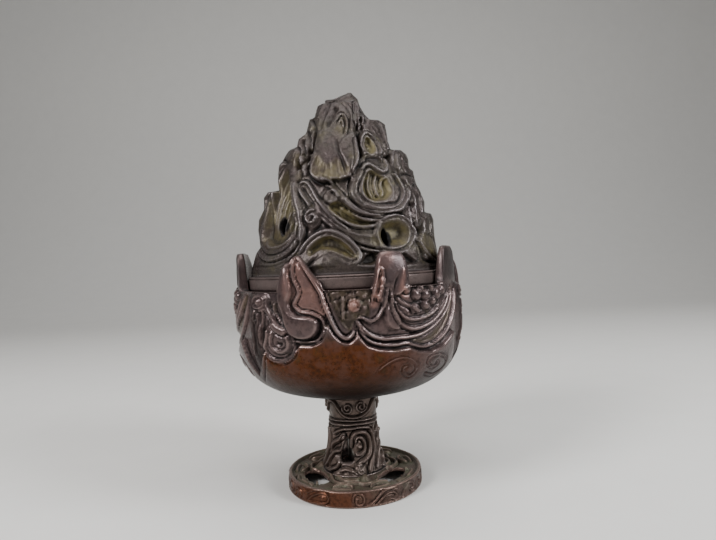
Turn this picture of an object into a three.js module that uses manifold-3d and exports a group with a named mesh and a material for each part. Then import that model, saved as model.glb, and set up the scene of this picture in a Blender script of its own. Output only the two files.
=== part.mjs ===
// Hill censer: a cup on an openwork column and a pierced round foot, closed by a hollow mountain lid.
// Millimetres, +Z up, origin on the table under the middle of the foot, front of the censer towards -Y.
// Angles round the upright axis are in degrees, 0 at the front and positive towards +X.

import * as THREE from 'three';
import { mergeVertices } from 'three/addons/utils/BufferGeometryUtils.js';
import Module from 'manifold-3d';

const wasm = await Module();
wasm.setup();

// Foot
const footRadius = 34.2;
const footHeight = 7.9;
const footRimWall = 4.6;
const footWebThickness = 3.0;
const footRecessRadius = 8.5;
const footRecessDepth = 1.9;
const footEdge = 0.8;
const footWindowInner = 17.6;
const footWindowOuter = 26.0;
const footWindowAngles = [-62, 58, 178];
const footWindowSpan = 50;
const footRootAngles = [-2, 118, 238];
const footRootRise = 2.2;
const footRootSpread = 30;
const footWaveRise = 0.6;
const footWaves = 9;
const footWaveTurn = 14;

// Stem
const stemLength = 37.6;
const stemFootRadius = 16.2;
const stemKneeRadius = 14.4;
const stemKneeHeight = 8.0;
const stemWaistRadius = 12.4;
const stemWaistHeight = 20.5;
const stemTopRadius = 13.4;
const stemBoreRadius = 8.0;
const stemWindowAngles = [-13, 107, 227];
const stemWindowBottom = 5.0;
const stemWindowHeight = 14.5;
const stemWindowWidth = 6.4;
const stemWindowLean = 12;
const stemGround = 0.6;
const spigotLength = 3.5;
const spigotClearance = 0.35;

// Bowl
const bowlDepth = 55.2;
const bellyRadius = 57.7;
const bowlWall = 5.0;
const bowlFloor = 4.6;
const reliefDepth = 2.1;
const rimLedgeThickness = 4.0;
const rimLedgeRadius = 46.2;
const peakInset = 2.6;
const peakCrown = 1.2;
const peakClearance = 0.9;
const peakTaper = 0.94;

// Lid
const lidSeatGap = 0.3;
const bandRadius = 49.9;
const bandHeight = 6.4;
const bandLipDepth = 3.6;
const bandLipWall = 2.4;
const bandLipClearance = 0.5;
const bandCollarHeight = 2.0;
const bandCollarWall = 2.0;
const bandCollarClearance = 0.4;
const mountainHeight = 92.6;
const mountainRadius = 47.8;
const mountainWall = 6.0;
const mountainFootWall = 4.3;
const mountainPlainStrip = 4.5;
const mountainGround = 1.4;
const mountainStripFade = 3.0;
const smokeHoleWidth = 4.6;
const smokeHoleHeight = 8.4;
const smokeHoleRadialStart = 8;
const smokeHoles = [[26, 122.9], [206, 122.9], [-43, 130.4], [137, 130.4], [78, 147.4], [258, 147.4]];

// Tie rod with its nuts and washers
const rodRadius = 3.0;
const rodClearance = 0.4;
const rodTail = 1.2;
const nutAcrossFlats = 10.0;
const upperNutHeight = 5.0;
const lowerNutHeight = 3.2;
const threadClearance = 0.3;
const washerRadius = 7.0;
const washerThickness = 1.2;

// Heights that follow from the sizes above
const stemBottom = footHeight;
const bowlBottom = stemBottom + stemLength;
const bowlRim = bowlBottom + bowlDepth;
const bandBottom = bowlRim + lidSeatGap;
const mountainFoot = bandBottom + bandHeight;
const mountainTop = mountainFoot + mountainHeight;
const bowlFloorTop = bowlBottom + bowlFloor;

// Facet counts
const lidColumns = 108;
const lidRows = 36;
const bowlColumns = 108;
const bowlRows = 40;
const cavityColumns = 32;
const cavityRows = 8;
const stemColumns = 42;
const stemRows = 11;
const footColumns = 54;
const footRings = 5;
const boreSides = 20;
const outlineSteps = 200;

// How relief forms end and meet: in drawn millimetres, and in degrees
const formEdge = 1.0;
const blurReach = 1.5;
const bowlProud = 0.4;
const crownReach = 4;
const summitFadeStart = 2;
const summitFadeEnd = 11;
const summitDrop = 2.6;
const summitDropHeights = [189, 198];
const summitDropAcross = [-4, 4];
const summitSlope = 0.3;
const frontFadeStart = 84;
const frontFadeEnd = 96;
const sideMeet = [6, 17];
const sideHold = [0.55, 0.75];
const viewDistance = 288;
const viewHeight = 112;
const thirdMiddle = 10;
const thirdFadeStart = 56;
const thirdFadeEnd = 64;

// The relief is drawn in degrees and in millimetres above the table on a censer of these heights
// and radii. A ground takes a drawn height to the censer's own, and its size is that of the relief.
const rad = THREE.MathUtils.degToRad;
const ground = (drawn, bottom, top, radius) => ({
  at: z => bottom + (z - drawn.bottom) * (top - bottom) / (drawn.top - drawn.bottom),
  drawn: z => drawn.bottom + (z - bottom) * (drawn.top - drawn.bottom) / (top - bottom),
  size: radius / drawn.radius,
});
const onStem = ground({ bottom: 7.9, top: 45.5, radius: 12.4 }, stemBottom, bowlBottom, stemWaistRadius);
const onBowl = ground({ bottom: 45.5, top: 100.7, radius: 57.7 }, bowlBottom, bowlRim, bellyRadius);
const onMountain = ground({ bottom: 107.4, top: 200, radius: 47.8 }, mountainFoot, mountainTop,
  mountainRadius);

// Outlines as shares of the radius and the height, from the bottom up
const bowlOutline = [[0.232, 0], [0.347, 0.027], [0.459, 0.054], [0.572, 0.085], [0.676, 0.123],
  [0.771, 0.176], [0.858, 0.25], [0.929, 0.35], [0.974, 0.489], [0.993, 0.643], [1, 0.824], [0.993, 1]];
const mountainOutline = [[1, 0], [0.975, 0.08], [0.942, 0.16], [0.912, 0.25], [0.86, 0.37], [0.77, 0.48],
  [0.665, 0.6], [0.545, 0.7], [0.44, 0.78], [0.35, 0.85], [0.265, 0.91], [0.21, 0.96], [0.17, 0.99],
  [0.1, 1], [0, 1]];

// Forms of the relief in the order they are laid: a rock or plane brings the surface inside its
// outline to a level, at its foot and at its tip, and crowns it; a hollow sinks it by a depth.
// Outlines and paths hold [angle, height], drawn in millimetres as are rises, widths and levels.
const rock = (foot, tip, crown, outline) => ({ foot, tip, crown, outline });
const plane = (level, crown, outline) => rock(level, level, crown, outline);
const hollow = (sink, wall, outline) => ({ sink, wall, outline });
const mountainForms = [
  rock(-1.6, 0.2, 1.0, [[-86, 170], [-80, 178], [-68, 184], [-56, 187], [-40, 187.6], [-30, 184],
    [-25.6, 179], [-25, 171], [-28, 166], [-44, 164], [-66, 166]]),
  rock(-1.4, 0.6, 1.0, [[-90, 160], [-82, 167], [-72, 172], [-60, 175.4], [-46, 176], [-38, 173.6],
    [-32, 168.6], [-31, 162], [-38, 158], [-56, 158], [-76, 158]]),
  rock(-1.2, 0.8, 1.0, [[-94, 152], [-86, 160], [-76, 165.4], [-62, 168.4], [-54, 168.6],
    [-46, 167.4], [-41, 165], [-38.4, 158], [-40, 152], [-52, 149], [-72, 149]]),
  rock(-1.0, 1.0, 1.0, [[-98, 138], [-94, 150], [-84, 158], [-74, 161.6], [-60, 162.4], [-52, 160.6],
    [-44, 157], [-40.6, 153], [-41, 146], [-44, 140], [-60, 134], [-80, 132]]),
  rock(-0.8, 0.8, 1.0, [[-104, 122], [-102, 137], [-96, 145.4], [-88, 149], [-76, 149.8], [-70, 147],
    [-65, 141], [-63, 132], [-65, 121], [-80, 116], [-96, 117]]),
  rock(-1.2, 0.4, 0.8, [[15, 171], [18, 177.6], [23, 183], [29, 186.4], [36, 186], [41, 182],
    [38, 176], [30, 172], [22, 169]]),
  rock(-0.9, 0.9, 1.0, [[22, 171], [27, 175], [34, 178], [42, 182.4], [54, 185.4], [68, 186], [82, 184.4],
    [92, 180], [94, 172], [86, 166], [70, 163], [52, 163], [40, 161.6], [28, 159.6], [18, 161.4],
    [18, 166]]),
  hollow(2.8, 1.8, [[22.6, 163.6], [22.8, 168], [27.2, 171.4], [32.6, 171], [35, 167.6],
    [33.4, 163.8], [28, 162]]),
  rock(-0.9, 1.0, 1.0, [[47, 149], [46.4, 156], [48.6, 161], [54, 165.6], [64, 168.4], [76, 168.8],
    [88, 168], [98, 163], [98, 154], [88, 150], [70, 150], [56, 149.6]]),
  rock(-1.0, 0.6, 1.0, [[50, 140], [49.6, 148], [53, 152], [64, 152.8], [76, 151.6], [90, 150], [96, 145],
    [90, 140], [70, 140], [57, 139]]),
  rock(-1.0, 0.9, 1.0, [[52, 128], [53, 139], [57, 145], [66, 148.2], [76, 148], [88, 146.6], [100, 142],
    [102, 134], [90, 130], [70, 128]]),
  rock(-0.9, 0.9, 1.0, [[54, 113], [55, 123], [58, 130], [65, 135], [76, 135.8], [90, 135],
    [102, 130], [104, 118], [92, 112], [72, 111]]),
  rock(1.0, 0.1, 1.0, [[-70, 184], [-64, 190], [-56, 195], [-36, 198], [-11, 199], [10, 200],
    [38, 200], [60, 196], [62, 190], [40, 186.6], [29, 183], [21, 178.6], [17, 173], [16.6, 165],
    [14, 157], [10, 151.6], [5.6, 148.4], [0, 147], [-5, 147.8], [-13, 149.2], [-18, 150.6],
    [-22.6, 153.6], [-25, 159], [-24, 167], [-25, 175], [-33, 181], [-48, 184]]),
  hollow(2.0, 1.8, [[-17, 178.6], [-15, 184.4], [-10, 187.8], [-1, 188.4], [2, 186], [-3, 182.6],
    [-8, 178], [-13, 175.6]]),
  plane(2.3, 0.7, [[-1.6, 164], [0, 168], [5, 171], [11, 173], [15.4, 172.4], [15.6, 165], [15.4, 160],
    [12.6, 154.6], [9, 152], [5, 155], [2.4, 159]]),
  plane(0.0, 0.6, [[-67, 112], [-52, 110.6], [-40, 111.4], [-29, 115.6], [-23.4, 122], [-22, 132],
    [-26, 142], [-32, 150], [-42, 160], [-54, 160], [-61, 150], [-65, 136], [-68, 124]]),
  hollow(4.4, 4.6, [[-61, 125], [-54, 120.8], [-45, 119.4], [-36, 120.8], [-30, 124.6], [-27.4, 131],
    [-31, 140], [-36, 148], [-43, 157], [-51, 158], [-57, 148], [-60, 136]]),
  plane(-1.2, 0, [[-6, 149.4], [0, 149.8], [7, 150.6], [6.4, 145], [5, 140], [0, 143.2]]),
  plane(-1.6, 0, [[-15, 141], [-11, 146], [-5, 147.6], [-1, 143], [3, 139.6], [0, 137], [-5, 136.6],
    [-10, 138.6]]),
  plane(-1.0, 1.0, [[7, 148], [9, 152], [13, 156.6], [17, 160.4], [25, 162], [33, 162], [39, 161.6],
    [45, 158], [49.6, 152], [51, 145], [49, 138], [39, 133.4], [28, 131.6], [16, 132], [7, 135],
    [2, 139.6], [4, 145]]),
  hollow(1.8, 1.6, [[19, 157], [21, 160.6], [28, 161.6], [35, 160.8], [37, 158], [33, 155],
    [28, 156.6], [23, 158]]),
  hollow(3.0, 2.2, [[16, 150.4], [19.6, 153.6], [25, 154.6], [31, 152.4], [35.4, 149], [36, 143.6],
    [30.4, 139.8], [22, 138.6], [15.8, 140.6], [14, 145.4]]),
  hollow(2.4, 2.0, [[-9, 137.6], [-4, 140.4], [2, 138.8], [8, 134.4], [14, 131.2], [20, 130],
    [14, 128], [6, 129], [-1, 131.6], [-6, 134.4]]),
  plane(-0.2, 0, [[19, 126.6], [22, 131], [30, 132.8], [39, 133], [46, 130], [47.6, 124], [44, 118.4],
    [36, 115.6], [26, 115.8], [18, 118.6]]),
  hollow(4.4, 5.0, [[21.6, 127.4], [25, 130.6], [33, 131.4], [40.4, 130.2], [44, 126.4], [42.2, 121.4],
    [35.4, 118.4], [27, 118], [22, 120], [20.2, 123.6]]),
  plane(0.0, 0, [[-31, 149.6], [-26.6, 150.4], [-21, 147.8], [-16.4, 143], [-12, 138], [-7, 133.4],
    [-1, 129.6], [5, 126.2], [11, 124.6], [17, 124.2], [20, 123], [20.6, 118.6], [14, 119.6],
    [8, 121], [2, 124], [-4, 128], [-10, 132], [-15.6, 135.6], [-20.4, 139], [-25.4, 143.4],
    [-29.6, 146.4]]),
  plane(-1.0, 0.6, [[-24, 133], [-22.4, 137], [-18, 138.2], [-13.6, 136], [-12.8, 132], [-15, 128.8],
    [-19, 128], [-23, 130]]),
  plane(-0.2, 0, [[-27, 116], [-23, 122], [-17.6, 126], [-10, 128], [-3.6, 127], [2, 124.6], [7, 121],
    [10.4, 117], [10, 113], [5, 111], [0, 112.6], [-6, 114.8], [-12, 115.6], [-18, 113.6], [-23, 110]]),
  hollow(3.2, 2.6, [[-21, 118.6], [-16.6, 122.6], [-9.6, 125], [-3, 124], [2, 121.4], [6.2, 117.6],
    [7.4, 114.6], [4.4, 113.8], [-1, 115.6], [-7, 117.6], [-13, 117.8], [-18.6, 115.6]]),
  plane(0.1, 0.9, [[-20, 107.8], [-17.6, 112.4], [-12, 116], [-6, 116], [0, 113.6], [5, 111.8],
    [11, 110.6], [12, 107.8]]),
  plane(0.0, 0.9, [[50, 121], [53, 116], [59, 112.4], [67, 110.6], [74, 112], [73, 119], [66, 124],
    [57, 125]]),
];
const mountainRidges = [
  { rise: 1.3, width: 5.4, path: [[-30.6, 148], [-26.4, 143.6], [-21, 138.8], [-15.6, 134.6],
    [-10, 131], [-4, 127], [2, 123], [8, 119.8], [15, 117.6], [23, 116.2], [31, 116], [38.6, 117.6],
    [44, 121], [47, 126], [46, 131]] },
  { rise: 1.2, width: 5.4, path: [[-30.4, 149.2], [-26, 150], [-20.8, 147], [-15, 140.8], [-9, 135.2],
    [-3, 131], [4, 127.2], [10, 125.2]] },
  { rise: 1.4, width: 5.0, path: [[-15, 151.6], [-10, 149.2], [-4, 145.2], [1, 141], [6, 137.4],
    [12, 134.8], [20, 133.4], [28, 133.2], [36, 134.6], [42.4, 137.4], [47.6, 141.6], [50.2, 147],
    [49.4, 152]] },
  { rise: 1.6, width: 5.0, path: [[16.4, 155.6], [12.4, 151.8], [8.4, 147], [8.4, 142.6], [12.4, 138.4],
    [18, 136.4], [24.4, 135.8], [31, 136], [37.3, 136.6], [42.6, 139.6], [46.2, 143.6], [46.4, 148],
    [44, 151.6], [39.6, 153.4]] },
  { rise: 1.5, width: 5.4, path: [[15, 153.8], [18.4, 156.4], [22.4, 157], [26, 155.8], [29.6, 154.2],
    [33.4, 153.8], [37.4, 155.4], [38.8, 158.6], [38, 161.4]] },
  { rise: 1.4, width: 5.4, path: [[22.6, 153], [19.4, 148.6], [19, 144], [21, 140.6]] },
  { rise: 1.5, width: 5.4, path: [[31, 151.4], [27.6, 148], [27.4, 144.2], [27, 141.4]] },
  { rise: 1.2, width: 5.4, path: [[-3, 138.6], [3, 135], [9, 132.2], [16, 131], [24, 131.2], [32, 132.2],
    [39, 132.4], [44, 131]] },
  { rise: 1.3, width: 5.4, path: [[-16, 143], [-11, 138.4], [-6, 134.6], [0, 131.4], [7, 128.8],
    [15, 128], [23, 128.8]] },
  { rise: 1.2, width: 5.0, path: [[-64, 121.6], [-54, 117], [-45, 115.8], [-36.6, 117], [-30, 120],
    [-26, 124.4]] },
  { rise: 1.3, width: 5.0, path: [[-25, 122], [-24.2, 129], [-27, 137], [-31.6, 144.6], [-35, 151]] },
  { rise: 1.4, width: 5.4, path: [[-51, 126], [-51, 140], [-51, 154]] },
  { rise: 1.4, width: 5.4, path: [[-43, 124], [-41.6, 136], [-41, 147]] },
  { rise: 1.1, width: 5.4, path: [[-26, 116], [-22, 121.4], [-16.6, 125], [-10, 126.8], [-4, 126],
    [1.6, 123.6], [6.4, 120], [9, 116.4], [8, 112.8], [3.6, 112]] },
  { rise: 1.6, width: 5.0, path: [[-37.6, 163.6], [-34.4, 160.4], [-30.2, 157], [-26.4, 152.6]] },
  { rise: 1.3, width: 5.4, path: [[20, 162.4], [19.2, 167], [23, 171.2], [28.6, 173.4], [34.4, 172],
    [38.6, 167.6], [36.4, 162.6], [30, 160.6]] },
  { rise: 0.9, width: 5.0, path: [[45, 117], [47.6, 126], [50, 134], [51.4, 142], [50.6, 148]] },
  { rise: 0.9, width: 5.0, path: [[-10, 190.4], [-2, 192.4], [7.6, 191.4], [16, 188.4], [18, 183.6],
    [15.4, 178.6], [13, 173]] },
];
const mountainGrooves = [
  { rise: 1.8, width: 5.0, path: [[-41, 173], [-37, 168], [-31, 163], [-27, 159]] },
  { rise: 1.6, width: 5.0, path: [[-25.6, 171], [-23.6, 164], [-25, 159], [-23, 154.6]] },
  { rise: 1.6, width: 5.0, path: [[-61, 146], [-59, 138], [-60, 130], [-63, 122]] },
  { rise: 1.1, width: 5.0, path: [[47, 163], [50, 170], [56, 177], [64, 183]] },
];
// How far the rock reaches where a view from the front sees its left and right outlines, as
// [height, radius]; the view is taken from viewDistance and viewHeight
const leftReach = [[107, 47.8], [112, 47.2], [115, 46.4], [119, 45], [122, 42.6], [126, 42.9],
    [131, 43.4],
  [136, 42.6], [141, 40], [147, 39.8], [149.8, 37.6], [150.2, 32], [156, 32.3], [163, 31.6],
    [165.5, 29.6],
  [168, 28.2], [171, 26], [172.6, 22], [176.5, 20.8], [179, 17.4], [183, 16], [186.4, 15.2],
    [187.4, 12.2],
  [192, 11], [195, 10.2], [199, 7]];
const rightReach = [[107, 47.8], [113, 47], [118, 46.1], [124, 45.3], [132, 45.2], [135.4, 44.2],
    [136.2, 40.8],
  [141, 41.2], [147, 39.4], [151, 37.6], [154, 36.8], [157.4, 36.2], [159, 34.2], [163, 33.9], [166, 33],
  [168.4, 30.6], [169, 25], [173, 24.2], [177, 23.8], [182, 22.8], [184.4, 20], [185, 15.2], [188, 12.4],
  [192, 10.4], [196, 9.4], [200, 6]];
const spanOf = path => {
  const angles = path.map(([angle]) => angle);
  const heights = path.map(([, height]) => height);
  return {
    left: Math.min(...angles),
    right: Math.max(...angles),
    low: Math.min(...heights),
    high: Math.max(...heights),
  };
};
const measure = shapes => shapes.forEach(({ outline, path }) => {
  const points = outline ?? path;
  points.span = spanOf(points);
});
const frontAndBack = [0, 180];

// One third of the bowl's relief, which goes round three times
const waterLine = [[-66, 84], [-60, 79], [-57, 70], [-52, 63], [-46, 68], [-41, 75], [-36, 71.6],
    [-30, 70.6],
  [-24.6, 73], [-21, 78.6], [-15, 78.4], [-10.6, 80.6], [-8.8, 86], [-7.6, 87], [-5, 82.4],
    [-2, 79.6], [1, 79],
  [3.6, 81], [4.6, 83.6], [6, 81], [9, 77.4], [14, 75.6], [21, 74.6], [26, 75], [29, 75.2], [34, 73],
    [42, 72],
  [51, 74], [60, 79], [63, 70], [68, 63], [74, 68]];
const waterFoot = 62;
const bowlForms = [
  plane(-1.2, 0.6, [[-62, 66], [-64, 82], [-62, 103], [-50, 103], [-46, 96], [-43, 88], [-41.6, 80],
    [-43, 73], [-47, 67], [-53, 62]]),
  plane(-1.2, 0.9, [[-40.6, 80], [-39, 85], [-35, 88], [-29, 87.6], [-25, 84], [-22.6, 79], [-25.6, 74],
    [-31, 71.4], [-36.6, 72.2], [-40.4, 76]]),
  plane(-0.8, 0.5, [[-49, 99], [-46.6, 102], [-40, 102], [-37.4, 98], [-38.6, 93.6], [-43, 92.4],
    [-47.4, 94]]),
  plane(-1.5, 0, [[-32.6, 99], [-32, 106], [-30.6, 111], [-27, 113.8], [-23.4, 116.8], [-20, 115],
    [-16.4, 110], [-11.6, 105], [-9.4, 99], [-8.6, 93], [-11, 90], [-20, 90], [-30, 92]]),
  plane(0.4, 1.7, [[-27.4, 113.4], [-29.6, 108], [-30.8, 101], [-30.2, 96], [-28.6, 92.6], [-27.4, 87.4],
    [-25, 83.2], [-20.7, 81], [-16, 81.4], [-13, 83.6], [-12, 86.8], [-13, 89.4], [-17, 90.6],
    [-21.4, 91], [-24.4, 93.4], [-25.4, 97], [-24.4, 100.7], [-25, 105.4], [-25.6, 110]]),
  plane(-0.7, 0.8, [[12.4, 99], [13.4, 105], [15, 111.6], [17, 116.8], [22, 117.6], [28, 117],
    [30.4, 113], [30.6, 106], [29.6, 99], [26, 95], [20, 93]]),
  plane(-0.5, 0.5, [[18.6, 110], [19.6, 101], [19.4, 93], [21, 87.6], [24, 83.6], [27, 81.6], [22, 81],
    [16.6, 81.4], [15.8, 84.6], [17.4, 90], [18.2, 97]]),
];
const bowlRidges = [
  { rise: 1.6, width: 5.4, path: [[-37.6, 86], [-37.8, 81.6], [-40, 77], [-38.4, 73.4], [-34.4, 71.4],
    [-28.6, 71.8], [-24, 74.8], [-22.4, 79.4]] },
  { rise: 1.6, width: 5.4, path: [[-34, 84.6], [-36, 80.4], [-34.4, 76.6], [-30.4, 75.4], [-26.6, 77.4],
    [-26.2, 81], [-29, 82.2]] },
  { rise: 2.2, width: 5.6, path: [[-39.6, 98], [-38.2, 94], [-35, 90.2], [-33, 86.4], [-29.4, 84.4],
    [-26, 84.6]] },
  { rise: 1.6, width: 5.4, path: [[-22.8, 95.6], [-20, 92.8], [-14.6, 91.8], [-10.4, 89.4], [-9.4, 85.8],
    [-11.8, 81.2], [-15.6, 79.8], [-21, 79.8], [-25.6, 81]] },
  { rise: 2.2, width: 5.0, path: [[-12.8, 104.2], [-10.3, 100], [-8.8, 95.2], [-6.8, 89.6], [-4, 83.8],
    [-0.6, 80.9], [2.4, 81.9], [3.6, 84.8]] },
  { rise: 2.0, width: 5.0, path: [[3.6, 97], [3.6, 92]] },
  { rise: 2.2, width: 5.4, path: [[14.2, 106], [12.9, 100], [12, 95.4], [11, 91.6]] },
  { rise: 1.9, width: 5.4, path: [[17.3, 102.2], [17, 94.5], [16, 88.4], [13.8, 84.4], [10.6, 83.4],
    [7.2, 85.6], [4.6, 89]] },
  { rise: 1.8, width: 5.0, path: [[33, 97.4], [40, 97], [47, 97.2]] },
  { rise: 1.5, width: 5.4, path: [[22, 97], [23.4, 91.4], [29, 87.8], [37, 87.8], [44.3, 90], [49, 94]] },
  { rise: 2.0, width: 4.8, path: [[20.2, 99.6], [20.8, 92.4], [24, 86.4], [29.8, 83.1], [37, 83.4],
    [45.6, 86.4], [53.4, 92], [58.6, 99]] },
  { rise: 1.9, width: 5.4, path: [[4.2, 89], [7, 84.6], [11, 81.4], [16.6, 79.7], [23.4, 79.6],
    [29, 79.5], [36, 80.4], [45.5, 84], [54.6, 89.6], [60, 95], [64, 101]] },
  { rise: 1.7, width: 5.4, path: [[4.9, 86], [9.2, 79.8], [14.9, 77.2], [21.7, 76.2], [27.6, 76.4],
    [31, 75.4], [37.6, 74.2], [46, 75.4], [55, 79.6], [62, 86], [66, 93], [69, 101]] },
];
const bowlThirds = [0, 120, 240];

// Rim peaks: angle, half width at the rim in degrees, height above the rim and how far the tip
// tucks inwards, both drawn in millimetres
const rimPeaks = [
  { angle: -22, half: 10, height: 15.3, lean: -1.5, point: 0.75, tuck: 2.6 },
  { angle: 22, half: 8.5, height: 16.3, lean: 1.0, point: 0.2, tuck: 2.6 },
  { angle: 69.5, half: 15, height: 18.0, lean: 1.0, point: 0.3, tuck: 1.2 },
  { angle: 98, half: 10, height: 15.3, lean: -1.5, point: 0.75, tuck: 2.6 },
  { angle: 142, half: 8.5, height: 16.3, lean: 1.0, point: 0.2, tuck: 2.6 },
  { angle: 186, half: 13, height: 18.0, lean: 1.0, point: 0.3, tuck: 2.6 },
  { angle: 218, half: 10, height: 15.3, lean: -1.5, point: 0.75, tuck: 2.6 },
  { angle: 275, half: 18, height: 18.6, lean: 0, point: 0.15, tuck: 0 },
];

const wrapAngle = angle => THREE.MathUtils.euclideanModulo(angle + 180, 360) - 180;
const fade = (value, from, to) => THREE.MathUtils.smoothstep(value, from, to);
const dome = t => (t >= 1 ? 0 : 0.5 + 0.5 * Math.cos(Math.PI * t));

// A smooth outline between two heights, with its radius at any height
const outline = (shares, radius, bottom, top) => {
  const points = shares.map(([r, z]) => new THREE.Vector2(r * radius, bottom + z * (top - bottom)));
  const curve = new THREE.SplineCurve(points);
  const fine = curve.getSpacedPoints(outlineSteps);
  const radiusAt = z => {
    const above = fine.findIndex(point => point.y >= z);
    if (above < 0) return fine.at(-1).x;
    if (above === 0) return fine[0].x;
    const low = fine[above - 1];
    const high = fine[above];
    return low.x + (high.x - low.x) * (z - low.y) / (high.y - low.y);
  };
  const spaced = count => curve.getSpacedPoints(count).map(point => [Math.max(point.x, 0), point.y]);
  return { spaced, radiusAt };
};

// The line that runs inside an outline at the depth of a wall
const inset = (points, wall) => points.map(([r, z], i) => {
  const [r0, z0] = points[Math.max(i - 1, 0)];
  const [r1, z1] = points[Math.min(i + 1, points.length - 1)];
  const length = Math.hypot(r1 - r0, z1 - z0);
  return [r - wall * (z1 - z0) / length, z + wall * (r1 - r0) / length];
});

const asManifold = geometry => {
  const index = geometry.index.array;
  const corners = [];
  for (let i = 0; i < index.length; i += 3) {
    const [a, b, c] = index.slice(i, i + 3);
    if (a !== b && b !== c && c !== a) corners.push(a, b, c);
  }
  const vertProperties = geometry.attributes.position.array;
  const triVerts = new Uint32Array(corners);
  return new wasm.Manifold(new wasm.Mesh({ numProp: 3, vertProperties, triVerts }));
};

const welded = geometry => {
  geometry.deleteAttribute('normal');
  geometry.deleteAttribute('uv');
  return mergeVertices(geometry);
};

const asGeometry = manifold => {
  const mesh = manifold.getMesh();
  const geometry = new THREE.BufferGeometry();
  geometry.setAttribute('position', new THREE.BufferAttribute(mesh.vertProperties, mesh.numProp));
  geometry.setIndex(new THREE.BufferAttribute(mesh.triVerts, 1));
  geometry.computeVertexNormals();
  return geometry;
};

// A profile of [radius, height] spun round the upright axis, and carved by moving its points
const turned = (profile, columns, carve = null) => {
  const lathe = new THREE.LatheGeometry(profile.map(([r, z]) => new THREE.Vector2(r, z)), columns);
  lathe.rotateX(Math.PI / 2);
  const geometry = welded(lathe);
  if (carve) {
    const position = geometry.attributes.position;
    for (let i = 0; i < position.count; i++) {
      const radius = Math.hypot(position.getX(i), position.getY(i));
      const angle = Math.atan2(position.getX(i), -position.getY(i));
      const moved = carve(THREE.MathUtils.radToDeg(angle), position.getZ(i), radius);
      position.setXYZ(i, moved.radius * Math.sin(angle), -moved.radius * Math.cos(angle), moved.z);
    }
  }
  return asManifold(geometry);
};

const extruded = (shape, depth, curveSegments) =>
  new THREE.ExtrudeGeometry(shape, { depth, bevelEnabled: false, curveSegments });

const rodBore = (bottom, top) => {
  const radius = rodRadius + rodClearance;
  return turned([[0, bottom], [radius, bottom], [radius, top], [0, top]], boreSides);
};

// How far a point lies from a stroke, measured on the unrolled surface
const strokeDistance = (path, angle, z, radius, surface) => {
  const arc = rad(1) * radius;
  let nearest = Infinity;
  for (let i = 1; i < path.length; i++) {
    const [startAngle, startZ] = path[i - 1];
    const [endAngle, endZ] = path[i];
    const across = wrapAngle(angle - startAngle) * arc;
    const up = z - surface.at(startZ);
    const runAcross = (endAngle - startAngle) * arc;
    const runUp = surface.at(endZ) - surface.at(startZ);
    const along = (across * runAcross + up * runUp) / (runAcross ** 2 + runUp ** 2);
    const share = THREE.MathUtils.clamp(along, 0, 1);
    nearest = Math.min(nearest, Math.hypot(across - share * runAcross, up - share * runUp));
  }
  return nearest;
};

const alongLine = (line, at) => {
  const next = line.findIndex(([start]) => start >= at);
  if (next < 0) return line.at(-1)[1];
  if (next === 0) return line[0][1];
  const [start, low] = line[next - 1];
  const [end, high] = line[next];
  return low + (high - low) * (at - start) / (end - start);
};

// Whether a point is within a margin of the box round a path
const isNear = (path, margin, angle, z, radius, surface) => {
  const { left, right, low, high } = path.span;
  const beside = Math.abs(wrapAngle(angle - (left + right) / 2)) - (right - left) / 2;
  return beside * rad(1) * radius < margin && z > surface.at(low) - margin && z < surface.at(high) + margin;
};

const ridgeRise = (ridges, angle, z, radius, surface) => {
  let highest = 0;
  for (const { rise, width, path } of ridges) {
    const reach = width / 2 * surface.size;
    if (!isNear(path, reach, angle, z, radius, surface)) continue;
    highest = Math.max(highest, rise * dome(strokeDistance(path, angle, z, radius, surface) / reach));
  }
  return highest;
};

// How deep a point lies inside an outline, in drawn millimetres; negative outside it
const depthInside = (outline, angle, z, radius, surface) => {
  const closed = [...outline, outline[0]];
  let inside = false;
  for (let i = 1; i < closed.length; i++) {
    const startUp = surface.at(closed[i - 1][1]) - z;
    const endUp = surface.at(closed[i][1]) - z;
    if (startUp > 0 === endUp > 0) continue;
    const start = wrapAngle(closed[i - 1][0] - angle);
    const end = wrapAngle(closed[i][0] - angle);
    const crossing = start - (end - start) * startUp / (endUp - startUp);
    if (Math.abs(end - start) < 180 && crossing > 0) inside = !inside;
  }
  const distance = strokeDistance(closed, angle, z, radius, surface) / surface.size;
  return inside ? distance : -distance;
};

const laidForms = (forms, level, angle, z, radius, surface) => {
  let laid = level;
  for (const { outline, foot, tip, crown, sink, wall } of forms) {
    if (!isNear(outline, formEdge * surface.size, angle, z, radius, surface)) continue;
    const depth = depthInside(outline, angle, z, radius, surface);
    if (sink) {
      laid -= sink * fade(depth, 0, wall);
    } else if (depth > -formEdge) {
      const { low, high } = outline.span;
      const up = THREE.MathUtils.clamp((surface.drawn(z) - low) / (high - low), 0, 1);
      const full = THREE.MathUtils.clamp(depth / crownReach, 0, 1);
      const aim = foot + (tip - foot) * up + crown * Math.sqrt(1 - (1 - full) ** 2);
      laid += (aim - laid) * fade(depth, -formEdge, formEdge);
    }
  }
  return laid;
};

// The mean of a field over a small cross of places, which smooths out what facets can't show
const blurred = (field, angle, z, radius, surface) => {
  const up = blurReach * surface.size;
  const across = up / (rad(1) * radius);
  const places = [[0, 0], [across, 0], [-across, 0], [0, up], [0, -up]];
  const values = places.map(([turn, rise]) => field(angle + turn, z + rise, radius));
  return values.reduce((sum, value) => sum + value, 0) / values.length;
};

const turnedCopies = (turns, rise) => Math.max(...turns.map(rise));

// Mountain
const mountainShape = outline(mountainOutline, mountainRadius, mountainFoot, mountainTop);

const frontLevel = (angle, z, radius) =>
  laidForms(mountainForms, -mountainGround, angle, z, radius, onMountain)
    + ridgeRise(mountainRidges, angle, z, radius, onMountain)
    - ridgeRise(mountainGrooves, angle, z, radius, onMountain);

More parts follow.
